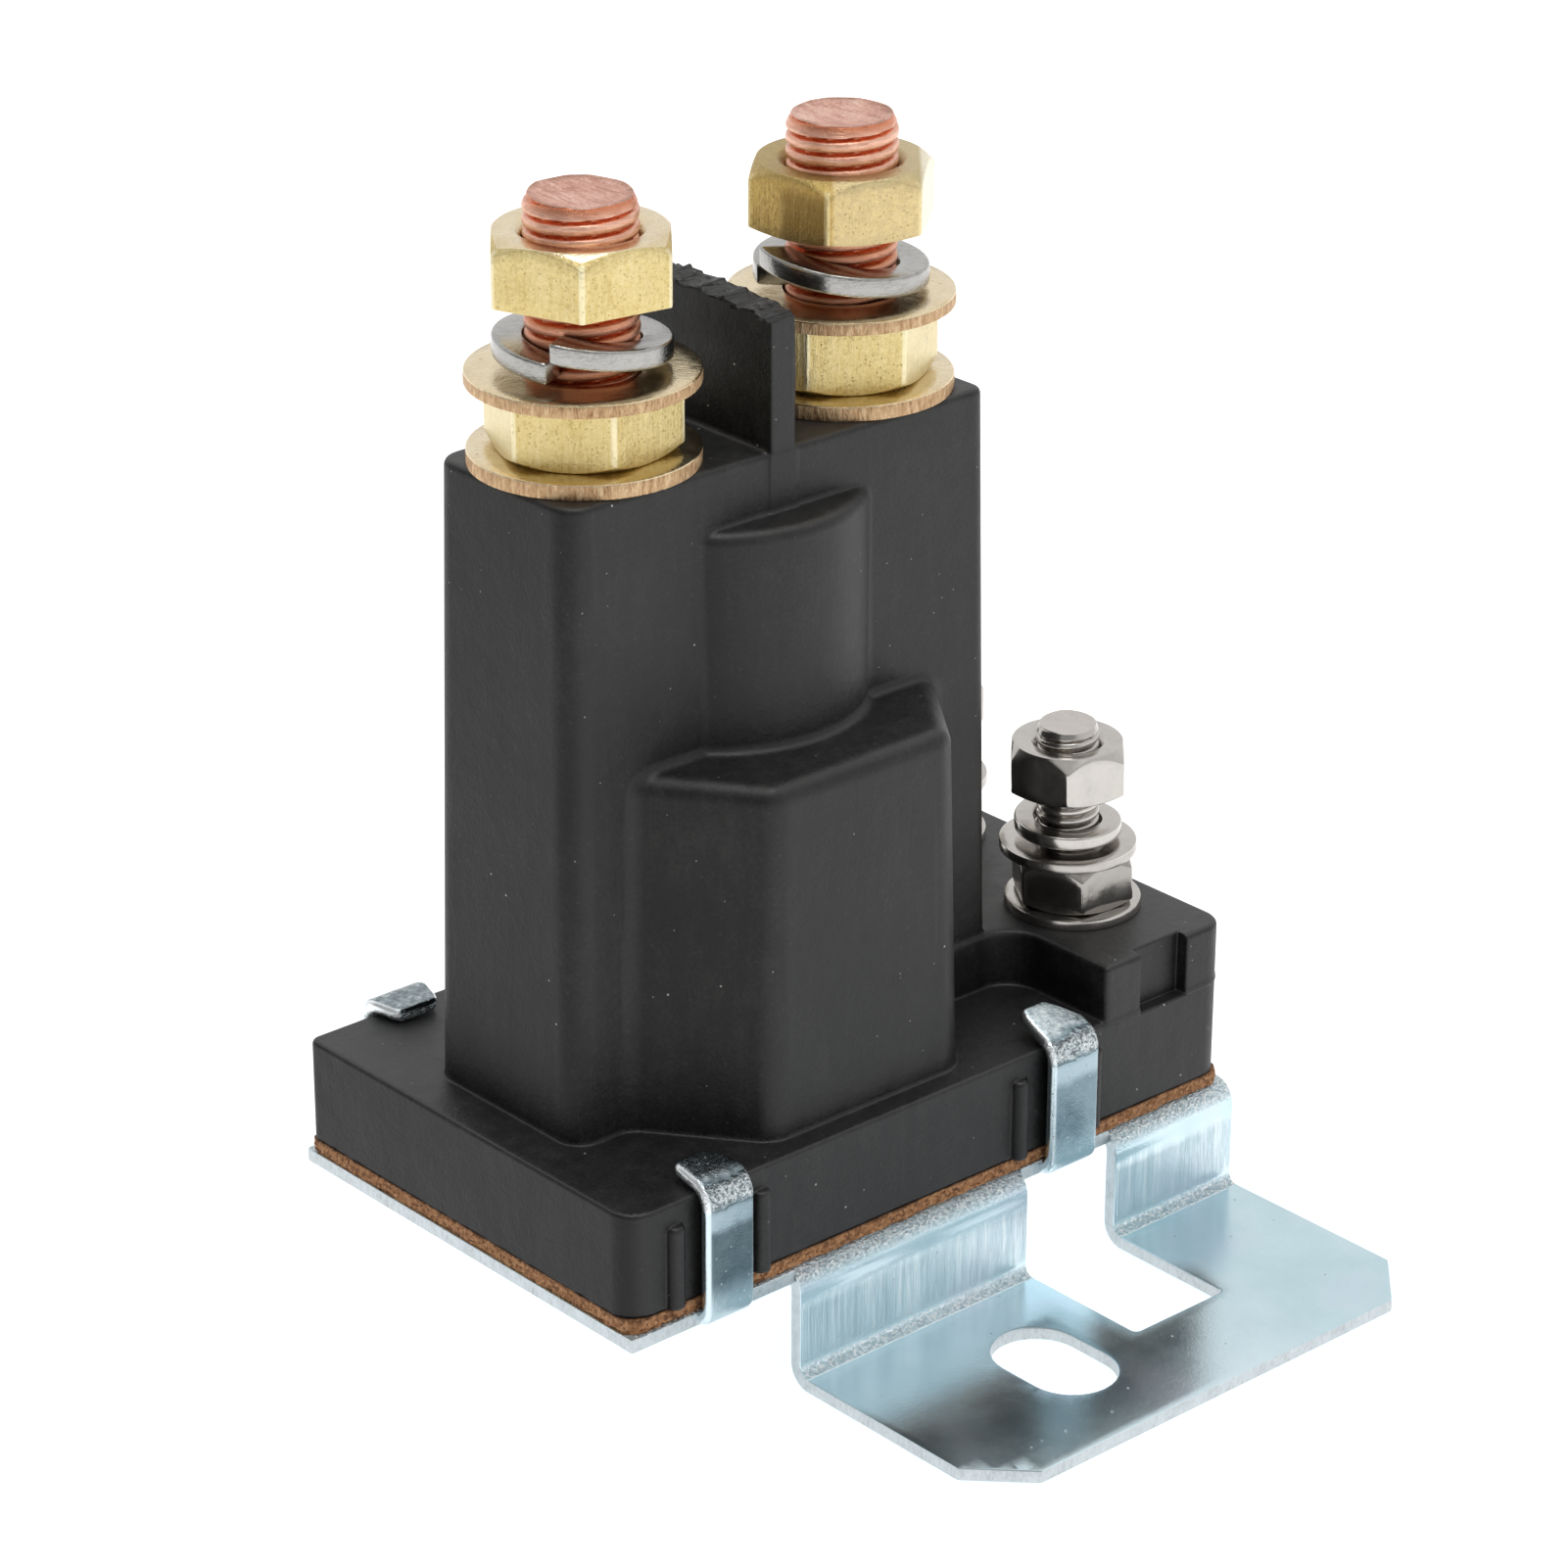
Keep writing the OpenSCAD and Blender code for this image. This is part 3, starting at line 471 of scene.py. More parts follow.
PHENOLIC, FLASH, CORK = mat_phenolic(), mat_flash(), mat_cork()
ZINC = mat_zinc()
ZINC_TAB_PAINTED_LIGHT = mat_zinc_tab()
ZINC_EDGE = mat_steel("zinc_edge", 0.56, 0.30, 0.45, brushed=(1.0, 1.0, 0.4), tint=(0.92, 1.0, 1.04), bump=0.03)
JAM_TURN, TOP_TURN = (-112.1, -152.0), (-129.1, -140.5)
JAM_BRASS = [mat_brass("brass_jam_nut_left", XS[0], JAM_TURN[0], pale=(4,)), mat_brass("brass_jam_nut_right", XS[1], JAM_TURN[1], pale=(1,))]
TOP_BRASS = [mat_brass("brass_top_nut_left", XS[0], TOP_TURN[0]), mat_brass("brass_top_nut_right", XS[1], TOP_TURN[1], painted_shading=True)]
FACE = mat_champagne()
RIM = mat_rim("brass_rim", (0.29, 0.155, 0.075), (0.56, 0.37, 0.205), (0.80, 0.61, 0.39))
COPPER, COPPER_END = mat_copper(), mat_copper_end()
SPRING = mat_steel("spring_steel", 0.40, 0.13, 0.26, brushed=(0.5, 0.5, 2.4), tint=(1.0, 0.98, 0.94), bump=0.02)
NICKEL = mat_steel("nickel_nut", 0.53, 0.15, 0.22, brushed=(0.3, 0.3, 0.2), tint=(1.0, 0.955, 0.90), bump=0.004, spread=0.35)
# darker copy of the nickel for the sides of the lower coil nut: painted shade between its washers
NICKEL_PAINTED_SHADE = mat_steel("nickel_nut_low_painted_shade", 0.36, 0.13, 0.20, brushed=(0.3, 0.3, 0.2), tint=(1.0, 0.955, 0.90), bump=0.004, spread=0.35)
NICKEL_RIM = mat_steel("nickel_rim", 0.46, 0.20, 0.28, brushed=(0.4, 0.4, 0.4), tint=(1.0, 0.95, 0.89), bump=0.008, spread=0.5)
NICKEL_END = mat_steel("nickel_end", 0.58, 0.26, 0.36, brushed=(0.5, 0.2, 1.0), tint=(1.0, 0.94, 0.88), bump=0.012, spread=0.4)


# ---------- mesh helpers ----------
def finish_mesh(name, me, mats, body, nodes=(), slot=None, angle=35.0, recalc=True, normals=None):
    if recalc:
        bm = bmesh.new()
        bm.from_mesh(me)
        bmesh.ops.recalc_face_normals(bm, faces=bm.faces)
        bm.to_mesh(me)
        bm.free()
    for m in mats:
        me.materials.append(m)
    me.polygons.foreach_set("use_smooth", np.ones(len(me.polygons), bool))
    if normals is not None:
        me.normals_split_custom_set_from_vertices(normals)
    elif angle is not None:
        me.set_sharp_from_angle(angle=math.radians(angle))
    o = bpy.data.objects.new(name, me)
    scene.collection.objects.link(o)
    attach(o, body)
    if nodes:
        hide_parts(*nodes)
    return o


class Build:
    """Collects parts of one piece, in millimetres."""

    def __init__(self):
        self.v, self.f, self.k = [], [], []
        self.n = 0

    def add(self, verts, faces, mat=0, place=None):
        v = np.asarray(verts, float)
        if place is not None:
            v = place(v)
        self.v.append(v)
        for i, f in enumerate(faces):
            self.f.append([int(a) + self.n for a in f])
            self.k.append(int(mat[i]) if hasattr(mat, "__len__") else mat)
        self.n += len(v)

    def piece(self, name, mats, body="housing", **kw):
        me = bpy.data.meshes.new(name)
        me.from_pydata((np.concatenate(self.v) * MM).tolist(), [], self.f)
        me.polygons.foreach_set("material_index", np.array(self.k, np.int32))
        return finish_mesh(name, me, mats, body, **kw)


def loft(rings, wrap=False, caps=(False, False), mats=None):
    """Quads between successive closed rings of the same point count. mats gives a material index per step."""
    r = np.asarray(rings, float)
    m, n, _ = r.shape
    steps = m if wrap else m - 1
    i = np.repeat(np.arange(steps), n)
    j = np.tile(np.arange(n), steps)
    i2, j2 = (i + 1) % m, (j + 1) % n
    f = np.stack([i * n + j, i * n + j2, i2 * n + j2, i2 * n + j], -1).tolist()
    k = [mats[a] if mats is not None else 0 for a in i]
    if caps[0]:
        f.append(list(range(n))[::-1])
        k.append(mats[0] if mats is not None else 0)
    if caps[1]:
        f.append(list(range((m - 1) * n, m * n)))
        k.append(mats[-1] if mats is not None else 0)
    return r.reshape(-1, 3), f, k


def wave(a, seed, terms=7, low=1.0, high=9.0):
    """A smooth repeatable wobble of size about 1, periodic over 2 pi."""
    r = np.random.RandomState(seed)
    out = np.zeros_like(np.asarray(a, float))
    for _ in range(terms):
        k = r.randint(int(low), int(high) + 1)
        out += r.uniform(0.4, 1.0) * np.sin(k * a + r.uniform(0, 6.28))
    return out / (0.5 * terms)


def polygon_outline(sides, apothem, rc, flat=8, arc=5):
    """Regular polygon with rounded corners, a corner on +X. Returns points (n, 2)."""
    half = math.pi / sides
    c = (apothem - rc) / math.cos(half)
    pts = []
    for k in range(sides):
        a = 2 * half * k
        mid = np.array([math.cos(a), math.sin(a)]) * c
        nxt = np.array([math.cos(a + 2 * half), math.sin(a + 2 * half)]) * c
        for t in np.linspace(-half, half, arc):
            pts.append(mid + rc * np.array([math.cos(a + t), math.sin(a + t)]))
        d = rc * np.array([math.cos(a + half), math.sin(a + half)])
        for t in np.linspace(0, 1, flat + 2)[1:-1]:
            pts.append((mid + d) * (1 - t) + (nxt + d) * t)
    return np.array(pts)


def nut(b, x, y, z0, t, af, bore, turn, top=True, bottom=False, seed=1, k_side=0, k_top=1, rc=0.28, cone=51.0, face_in=0.12, low=None):
    """Hexagon nut. A cone cuts the corners at the top, at the bottom or at both, and leaves the arcs on the flats."""
    out = polygon_outline(6, af / 2, rc, flat=9, arc=5)
    rad = np.hypot(out[:, 0], out[:, 1])
    ang = np.arctan2(out[:, 1], out[:, 0])
    u = np.stack([np.cos(ang), np.sin(ang)], -1)
    tan = math.tan(math.radians(cone))
    r_face = af / 2 - face_in
    rows, mats = [], []

    def row(r, z, mat):
        r = np.broadcast_to(r, rad.shape)
        z = np.broadcast_to(z, rad.shape)
        rows.append(np.concatenate([u * r[:, None], z[:, None]], -1))
        mats.append(mat)

    wob = 0.02 * wave(ang, seed, 6, 2, 7)
    zt = t - np.maximum(rad - r_face, 0) * tan if top else np.full_like(rad, t - 0.10)
    zb = np.maximum(rad - r_face, 0) * (tan if low is None else math.tan(math.radians(low))) if bottom else np.full_like(rad, 0.10)
    row(bore, 0.55, k_side)
    row(bore + 0.02, 0.45, k_side)
    row(bore + 0.38, 0.03, k_top)
    row(bore + 0.46, 0.0, k_top)
    if bottom:
        row(r_face - 0.05, 0.0, k_side)
        row(r_face + 0.02 + 0 * rad, 0.015, k_side)
        row(rad * 0.5 + r_face * 0.5, zb * 0.5, k_side)
        row(rad - 0.05, np.maximum(zb - 0.03, 0.02), k_side)
    else:
        row(rad - 0.14, 0.0, k_side)
        row(rad - 0.04, 0.03, k_side)
    row(rad, zb + 0.09, k_side)
    for s in (0.2, 0.4, 0.6, 0.8):
        row(rad + 0.012 * wave(ang * 1.0 + s * 9, seed + 3, 6, 5, 14), (zb + 0.09) * (1 - s) + (zt - 0.09) * s, k_side)
    row(rad, zt - 0.09, k_side)
    if top:
        row(rad - 0.05, np.minimum(zt + 0.03, t - 0.02), k_side)
        row(rad * 0.5 + r_face * 0.5, t - (t - zt) * 0.5, k_top)
        row(r_face + 0.02, t - 0.015, k_top)
        row(r_face - 0.06, t, k_top)
    else:
        row(rad - 0.04, t - 0.03, k_side)
        row(rad - 0.14, t, k_top)
    row(bore + 0.62 + wob, t, k_top)
    row(bore + 0.50 + wob, t - 0.03, k_top)
    row(bore + 0.04, t - 0.48, k_side)
    row(bore, t - 0.58, k_side)
    v, f, k = loft(rows, wrap=True, mats=mats)
    c, s = math.cos(math.radians(turn)), math.sin(math.radians(turn))
    b.add(v, f, k, lambda p: np.stack([p[:, 0] * c - p[:, 1] * s + x, p[:, 0] * s + p[:, 1] * c + y, p[:, 2] + z0], -1))


def washer(b, x, y, z0, ri, ro, t, seed=1, n=160, edge=0.13, rough=0.02):
    """Stamped flat washer: rolled edge on top, sheared rim."""
    a = np.linspace(0, 2 * math.pi, n, endpoint=False)
    w = wave(a, seed, 9, 6, 40) * rough
    w2 = wave(a, seed + 5, 9, 10, 60) * rough
    prof = [(ri, 0.10, 0), (ri + 0.09, 0.0, 0), (ro - 0.12, 0.0, 1), (ro - 0.03, 0.03, 1), (ro, 0.11, 1), (ro, t * 0.35, 1),
            (ro, t * 0.62, 1), (ro - 0.015, t - edge, 0), (ro - 0.05, t - edge * 0.4, 0), (ro - edge * 1.1, t, 0), (ro - 1.2, t, 0),
            (ri + 0.9, t, 0), (ri + 0.14, t, 0), (ri + 0.03, t - 0.04, 0), (ri, t - 0.14, 0)]
    rows = []
    for i, (r, z, _) in enumerate(prof):
        d = np.zeros(n)
        if 2 <= i <= 7:
            d = w if i < 5 else w2
            d = np.minimum(d, 0.0)
        rr = r + d
        rows.append(np.stack([np.cos(a) * rr + x, np.sin(a) * rr + y, np.full(n, z0 + z)], -1))
    v, f, k = loft(rows, wrap=True, mats=[p[2] for p in prof])
    b.add(v, f, k)


def lock_washer(b, x, y, z0, ri, ro, t, rise, a0, gap, tilt, lean, n=120, rc=0.22, skew=0.0):
    """Split spring washer: one helical turn of a rounded square section."""
    sec = []
    for cx_, cy_, s in ((ro - rc, t - rc, 0), (ri + rc, t - rc, 90), (ri + rc, rc, 180), (ro - rc, rc, 270)):
        for q in np.linspace(0, 90, 5):
            g = math.radians(s + q)
            sec.append((cx_ + rc * math.cos(g), cy_ + rc * math.sin(g)))
    sec = np.array(sec)
    rings = []
    for i, u in enumerate(np.concatenate([[0, 0.0015], np.linspace(0.004, 0.996, n - 3), [0.9985, 1.0]])):
        deg = a0 + gap / 2 + (360 - gap) * u
        dz = -rise * u + tilt * math.cos(math.radians(deg - lean))
        shrink = 0.0
        if u in (0, 1.0):
            shrink = 0.10
        elif u in (0.0015, 0.9985):
            shrink = 0.03
        mid = np.array([(ri + ro) / 2, t / 2])
        s = sec + (mid - sec) * shrink / (0.5 * t)
        g = np.radians(deg + skew * (ro - s[:, 0]) / (ro - ri))
        rings.append(np.stack([s[:, 0] * np.cos(g) + x, s[:, 0] * np.sin(g) + y, s[:, 1] + z0 + dz], -1))
    v, f, k = loft(rings, caps=(True, True))
    b.add(v, f, k)


def thread_radius(z, a, big, pitch, depth):
    ph = np.mod(z / pitch - a / (2 * math.pi), 1.0)
    tri = 1 - np.abs(2 * ph - 1)
    g = 1 - tri
    round_top = 0.16 * np.minimum(g / 0.62, 1) ** 2
    flank = np.clip((g - 0.62) / 0.34, 0, 1)
    return big - depth * (round_top + 0.84 * flank * flank * (3 - 2 * flank))


def threaded_rod(b, x, y, z0, z1, big, pitch, depth, tip_r, seed, n=72, dish=0.16, rag=0.05, tip_drop=0.9, per=12, slope=0.0, slope_at=0.0):
    """Right-hand thread with a turned tip and a slightly hollow, sawn end."""
    a = np.linspace(0, 2 * math.pi, n, endpoint=False)
    rows, mats = [], []
    rim = z1 - 0.05 - slope + 0.04 * wave(a, seed, 5, 1, 3) - rag * np.abs(wave(a, seed + 1, 6, 1, 6)) + slope * np.cos(a - math.radians(slope_at))
    zs = list(np.arange(z0, z1 - 0.02, pitch / per))
    for z in zs:
        zz = np.minimum(np.full(n, z), rim - 0.02)
        r = thread_radius(zz, a, big, pitch, depth)
        lim = tip_r + np.maximum(rim - zz, 0) * (big - tip_r) / tip_drop
        r = np.minimum(r, lim)
        rows.append(np.stack([np.cos(a) * r + x, np.sin(a) * r + y, zz], -1))
        mats.append(0)
    mats[-1] = 1
    for q, drop in ((0.995, 0.0), (0.97, -0.012), (0.90, 0.03), (0.75, 0.10), (0.55, 0.14), (0.35, 0.15), (0.18, 0.16), (0.05, 0.16)):
        wob = 0.03 * wave(a + q * 5, seed + 7, 5, 1, 5) * q
        r = tip_r * q
        zz = rim * q + (z1 - 0.06 - slope) * (1 - q) - drop * dish / 0.16 + np.minimum(wob, 0)
        rows.append(np.stack([np.cos(a) * r + x, np.sin(a) * r + y, zz], -1))
        mats.append(1)
    v, f, k = loft(rows, caps=(True, True), mats=mats)
    b.add(v, f, k)


def block(b, outline, z0, z1, edge, x, y, turn=0.0, mat=0):
    """Prism on an outline with rounded edges."""
    rad = np.hypot(outline[:, 0], outline[:, 1])
    u = outline / rad[:, None]
    rings = []
    for inset, z in ((edge, z0), (edge * 0.3, z0 + edge * 0.3), (0, z0 + edge), (0, z1 - edge), (edge * 0.3, z1 - edge * 0.3), (edge, z1)):
        p = u * (rad - inset)[:, None]
        rings.append(np.concatenate([p, np.full((len(p), 1), z)], -1))
    v, f, k = loft(rings, caps=(True, True))
    c, s = math.cos(math.radians(turn)), math.sin(math.radians(turn))
    b.add(v, f, mat, lambda p: np.stack([p[:, 0] * c - p[:, 1] * s + x, p[:, 0] * s + p[:, 1] * c + y, p[:, 2]], -1))


# ---------- the moulded case: a distance field, then a surface net ----------
def rrect(x, y, x0, y0, x1, y1, r):
    qx = np.abs(x - (x0 + x1) / 2) - ((x1 - x0) / 2 - r)
    qy = np.abs(y - (y0 + y1) / 2) - ((y1 - y0) / 2 - r)
    return np.hypot(np.maximum(qx, 0), np.maximum(qy, 0)) + np.minimum(np.maximum(qx, qy), 0) - r


def r_and(a, b, r):
    return np.minimum(np.maximum(a, b), -r) + np.hypot(np.maximum(a + r, 0), np.maximum(b + r, 0))


def r_or(a, b, r):
    return np.maximum(np.minimum(a, b), r) - np.hypot(np.maximum(r - a, 0), np.maximum(r - b, 0))


def magnet_plan(x, ay, x0, x1, fx0, fx1, y0, y1, r):
    front = ay - y1
    dx, dy = fx0 - x0, y1 - y0
    k = np.hypot(dx, dy)
    left = (-(x - x0) * dy + (ay - y0) * dx) / k
    dx2 = x1 - fx1
    k2 = np.hypot(dx2, dy)
    right = ((x - x1) * dy + (ay - y0) * dx2) / k2
    d = r_and(r_and(front, left, r), right, r)
    return np.maximum(np.maximum(d, x0 - x), x - x1)


def case_field(x, y, z):
    ay = np.abs(y)
    # base
    plan = rrect(x, y, -30.5, -19.15, 30.5, 19.15, np.where((x < 0) & (y > 0), 0.95, 2.2))
    d = r_and(plan, z - Z_BASE, 0.34)
    # tower, with draft
    t = (z - 18.9) / 49.8
    tower = rrect(x, y, -26.6 + 0.85 * t, -8.5 + 0.8 * t, 15.0 - 0.75 * t, 8.5 - 0.8 * t, np.where((x > -5) & (y < 0), 1.3, 2.1))
    tower = np.maximum(r_and(tower, z - Z_TOP, 0.50), 12 - z)
    # magnet bulge and its barrel
    tb = (z - 18.9) / 28.3
    bulge = magnet_plan(x, ay, -21.7 + 1.1 * tb, 10.2 - 1.1 * tb, -14.9 + 0.6 * tb, 3.4 - 0.6 * tb, 8.4 - 0.5 * tb, 17.1 - 0.5 * tb, 1.0)
    bulge = np.maximum(r_and(bulge, z - 47.2, 1.45), 12 - z)
    barrel = np.hypot(x - CX, y) - 11.3 - 0.004 * (47 - z)
    barrel = np.maximum(r_and(barrel, z - 64.1, 0.95), 30 - z)
    up = r_or(tower, barrel, 0.3)
    up = r_or(up, bulge, 0.75)
    d = r_or(d, up, 0.22)
    # barrier between the load studs, with a torn top
    top = 79.18 - 0.0068 * np.minimum(y - 1.0, 0) ** 2 - 0.004 * np.maximum(y - 1.0, 0) ** 2 + 0.12 * np.sin(2.1 * y + 0.6) + 0.10 * np.sin(5.3 * y + 1.1) + 0.10 * np.sin(9.9 * y + 2.0 + x) + 0.12 * (x + 6)
    wall = np.maximum(np.abs(x + 6) - 1.2 - 0.002 * (78 - z), ay - 7.7 - 0.01 * (78 - z))
    wall = np.maximum(r_and(wall, z - top, 0.16), 60 - z)
    d = r_or(d, wall, 0.35)
    # platform of the coil studs
    p2 = r_or(rrect(x, y, 17.1, -19.15, 30.5, 19.15, 2.2 * (x > 24) + 0.35 * (x <= 24)), rrect(x, y, 10.0, -8.65, 20.0, 8.65, 0.3), 3.1)
    p2 = np.maximum(p2, plan)
    plat = np.maximum(r_and(p2, z - Z_PLAT, 0.45), 12 - z)
    d = r_or(d, plat, 0.25)
    d = np.maximum(d, np.minimum(plan, 40.0) * (z < Z_BASE - 0.5) + -40.0 * (z >= Z_BASE - 0.5))
    # pocket in the platform's front face
    pocket = np.maximum(np.maximum(np.abs(x - 23.45) - 2.45, y + 18.05), 19.0 - z)
    d = r_and(d, -pocket, 0.15)
    # upright ribs beside the clinch tabs
    for xr in (-26.3, -18.1, 8.0, 15.8):
        rib = r_and(np.hypot(x - xr, ay - 19.15) - 0.75, z - 17.65, 0.35)
        d = np.minimum(d, rib)
    d = r_and(d, Z_CORK - z, 0.15)
    # inside
    hollow = np.maximum(rrect(x, y, -28.4, -17, 28.4, 17, 1.5), z - 17.25)
    hollow = np.minimum(hollow, np.maximum(magnet_plan(x, ay, -18.8, 7.3, -13.8, 2.3, 7.6, 14.6, 0.3), z - 44.8))
    hollow = np.minimum(hollow, np.maximum(rrect(x, y, -24.3, -6, 12.8, 6, 0.2), z - 62.5))
    rc = np.hypot(x - CX, y)
    hollow = np.minimum(hollow, np.maximum(rc - 9.8, z - 62.5))
    hollow = np.minimum(hollow, np.maximum(rc - 3.7, z - 66.7))
    hollow = np.minimum(hollow, np.maximum(rrect(x, y, 17.6, -15, 28.4, 15, 0.3), z - 19.95))
    for xs in XS:
        hollow = np.minimum(hollow, np.maximum(np.maximum(np.hypot(x - xs, y) - 4.1, 60 - z), z - 72))
    hollow = np.minimum(hollow, np.maximum(np.maximum(np.hypot(x - XC, ay - CY) - 2.52, 15 - z), z - 30))
    return np.maximum(d, -hollow)


def lines(lo, hi, base, fine):
    out, v = [lo], lo
    while v < hi:
        step = base
        for a, b, s in fine:
            if a - s <= v <= b:
                step = min(step, s)
            elif v < a < v + step:
                step = min(step, max(a - v, s))
        v += step
        out.append(v)
    return np.array(out)


def surface_net(f, X, Y, Z):
    D = np.ascontiguousarray(np.broadcast_to(f(X[:, None, None], Y[None, :, None], Z[None, None, :]), (len(X), len(Y), len(Z))))
    S = D < 0
    nx, ny, nz = S.shape
    C = np.zeros((nx - 1, ny - 1, nz - 1), np.uint8)
    corner = [(i, j, k) for i in (0, 1) for j in (0, 1) for k in (0, 1)]
    for i, j, k in corner:
        C += S[i : nx - 1 + i, j : ny - 1 + j, k : nz - 1 + k]
    act = (C > 0) & (C < 8)
    ids = np.full(act.shape, -1, np.int64)
    I, J, K = np.nonzero(act)
    n = len(I)
    ids[I, J, K] = np.arange(n)
    acc, cnt = np.zeros((n, 3)), np.zeros(n)
    for a in corner:
        for ax in range(3):
            if a[ax] == 1:
                continue
            c = list(a)
            c[ax] = 1
            da, db = D[I + a[0], J + a[1], K + a[2]], D[I + c[0], J + c[1], K + c[2]]
            m = (da < 0) != (db < 0)
            t = da[m] / (da[m] - db[m])
            pa = np.stack([X[I[m] + a[0]], Y[J[m] + a[1]], Z[K[m] + a[2]]], -1)
            pb = np.stack([X[I[m] + c[0]], Y[J[m] + c[1]], Z[K[m] + c[2]]], -1)
            acc[m] += pa + t[:, None] * (pb - pa)
            cnt[m] += 1
    V = acc / cnt[:, None]
    quads = []

    def face(m, off, order):
        i, j, k = np.nonzero(m)
        i, j, k = i + off[0], j + off[1], k + off[2]
        q = np.stack([ids[i + o[0], j + o[1], k + o[2]] for o in order], -1)
        inside = S[i, j, k]
        q[~inside] = q[~inside][:, ::-1]
        quads.append(q)

    face(S[:-1, 1:-1, 1:-1] != S[1:, 1:-1, 1:-1], (0, 1, 1), ((0, -1, -1), (0, 0, -1), (0, 0, 0), (0, -1, 0)))
    face(S[1:-1, :-1, 1:-1] != S[1:-1, 1:, 1:-1], (1, 0, 1), ((-1, 0, -1), (-1, 0, 0), (0, 0, 0), (0, 0, -1)))
    face(S[1:-1, 1:-1, :-1] != S[1:-1, 1:-1, 1:], (1, 1, 0), ((-1, -1, 0), (0, -1, 0), (0, 0, 0), (-1, 0, 0)))
    Q = np.concatenate(quads)
    lo = np.stack([X[I], Y[J], Z[K]], -1)
    hi = np.stack([X[I + 1], Y[J + 1], Z[K + 1]], -1)

    def grad(v, e):
        g = np.empty_like(v)
        for ax in range(3):
            p, q = v.copy(), v.copy()
            p[:, ax] += e
            q[:, ax] -= e
            g[:, ax] = (f(p[:, 0], p[:, 1], p[:, 2]) - f(q[:, 0], q[:, 1], q[:, 2])) / (2 * e)
        return g

    for _ in range(3):
        g = grad(V, 0.02)
        v = f(V[:, 0], V[:, 1], V[:, 2])
        step = np.clip(v / np.maximum((g * g).sum(1), 0.2), -0.15, 0.15)
        V = np.clip(V - g * step[:, None], lo, hi)
    g = grad(V, 0.05)
    N = g / np.maximum(np.linalg.norm(g, axis=1), 1e-9)[:, None]
    return V, Q, N


def make_case():
    q = 1.0
    X = lines(-31.2, 31.2, 0.8 * q, [(-30.9, -29.6, 0.28 * q), (-27.6, -24.2, 0.30 * q), (-23.0, -13.6, 0.42 * q), (-13.6, -7.6, 0.5 * q), (-7.6, -4.4, 0.26 * q),
                             (-4.4, 2.0, 0.5 * q), (2.0, 10.6, 0.42 * q), (12.0, 17.8, 0.30 * q), (20.7, 21.4, 0.25 * q), (25.5, 26.3, 0.25 * q), (28.4, 30.9, 0.28 * q)])
    half = lines(0.0, 20.4, 0.8 * q, [(2.6, 7.0, 0.6 * q), (7.0, 9.2, 0.28 * q), (9.2, 15.8, 0.42 * q), (15.8, 20.2, 0.26 * q)])
    Y = np.concatenate([-half[::-1][:-1], half])
    Z = lines(10.6, 80.2, 1.1, [(10.7, 11.4, 0.25 * q), (16.8, 20.1, 0.26 * q), (20.1, 23.2, 0.8 * q), (23.2, 24.3, 0.22 * q), (44.2, 48.6, 0.26 * q), (62.2, 64.5, 0.20 * q),
                                (66.2, 67.2, 0.5 * q), (67.9, 69.4, 0.22 * q), (78.2, 79.9, 0.16 * q)])
    V, Q, N = surface_net(case_field, X + 0.013, Y + 0.017, Z + 0.011)
    print("case", len(V), "points", len(Q), "quads")
    me = bpy.data.meshes.new("case_moulding")
    me.vertices.add(len(V))
    me.vertices.foreach_set("co", (V * MM).astype(np.float32).ravel())
    me.loops.add(4 * len(Q))
    me.loops.foreach_set("vertex_index", Q.astype(np.int32).ravel())
    me.polygons.add(len(Q))
    me.polygons.foreach_set("loop_start", np.arange(0, 4 * len(Q), 4, dtype=np.int32))
    me.update(calc_edges=True)
    finish_mesh("case_moulding", me, [PHENOLIC], "housing", nodes=("case",), slot="phenolic", recalc=False, angle=None, normals=N.tolist())


make_case()


# ---------- cork gasket ----------
def rounded_path(pts, r, seg=5):
    """Closed polygon (counter-clockwise) with each corner rounded by r, or by its own radius."""
    pts = [np.array(p, float) for p in pts]
    n = len(pts)
    out = []
    for i in range(n):
        rr = r[i] if hasattr(r, "__len__") else r
        p, a, b = pts[i], pts[i - 1], pts[(i + 1) % n]
        u, v = (a - p) / np.linalg.norm(a - p), (b - p) / np.linalg.norm(b - p)
        if rr <= 0:
            out.append(p)
            continue
        half = math.acos(max(-1, min(1, float(u @ v)))) / 2
        d = rr / math.tan(half)
        c = p + (u + v) / np.linalg.norm(u + v) * rr / math.sin(half)
        s, e = p + u * d, p + v * d
        a0, a1 = math.atan2(*(s - c)[::-1]), math.atan2(*(e - c)[::-1])
        da = (a1 - a0 + math.pi) % (2 * math.pi) - math.pi
        for t in np.linspace(0, 1, seg + 1):
            out.append(c + rr * np.array([math.cos(a0 + da * t), math.sin(a0 + da * t)]))
    return np.array(out)


def resample(path, step):
    p = np.vstack([path, path[:1]])
    seg = np.linalg.norm(np.diff(p, axis=0), axis=1)
    s = np.concatenate([[0], np.cumsum(seg)])
    n = int(round(s[-1] / step))
    t = np.linspace(0, s[-1], n, endpoint=False)
    return np.stack([np.interp(t, s, p[:, 0]), np.interp(t, s, p[:, 1])], -1)


def inset(path, d):
    """Moves a closed path to its left by d."""
    a, b = np.roll(path, 1, 0), np.roll(path, -1, 0)
    e0, e1 = path - a, b - path
    e0 /= np.maximum(np.linalg.norm(e0, axis=1), 1e-9)[:, None]
    e1 /= np.maximum(np.linalg.norm(e1, axis=1), 1e-9)[:, None]
    n0, n1 = np.stack([-e0[:, 1], e0[:, 0]], -1), np.stack([-e1[:, 1], e1[:, 0]], -1)
    m = n0 + n1
    k = np.maximum((m * m).sum(1), 0.5)
    return path + m * (2 * d / k)[:, None]


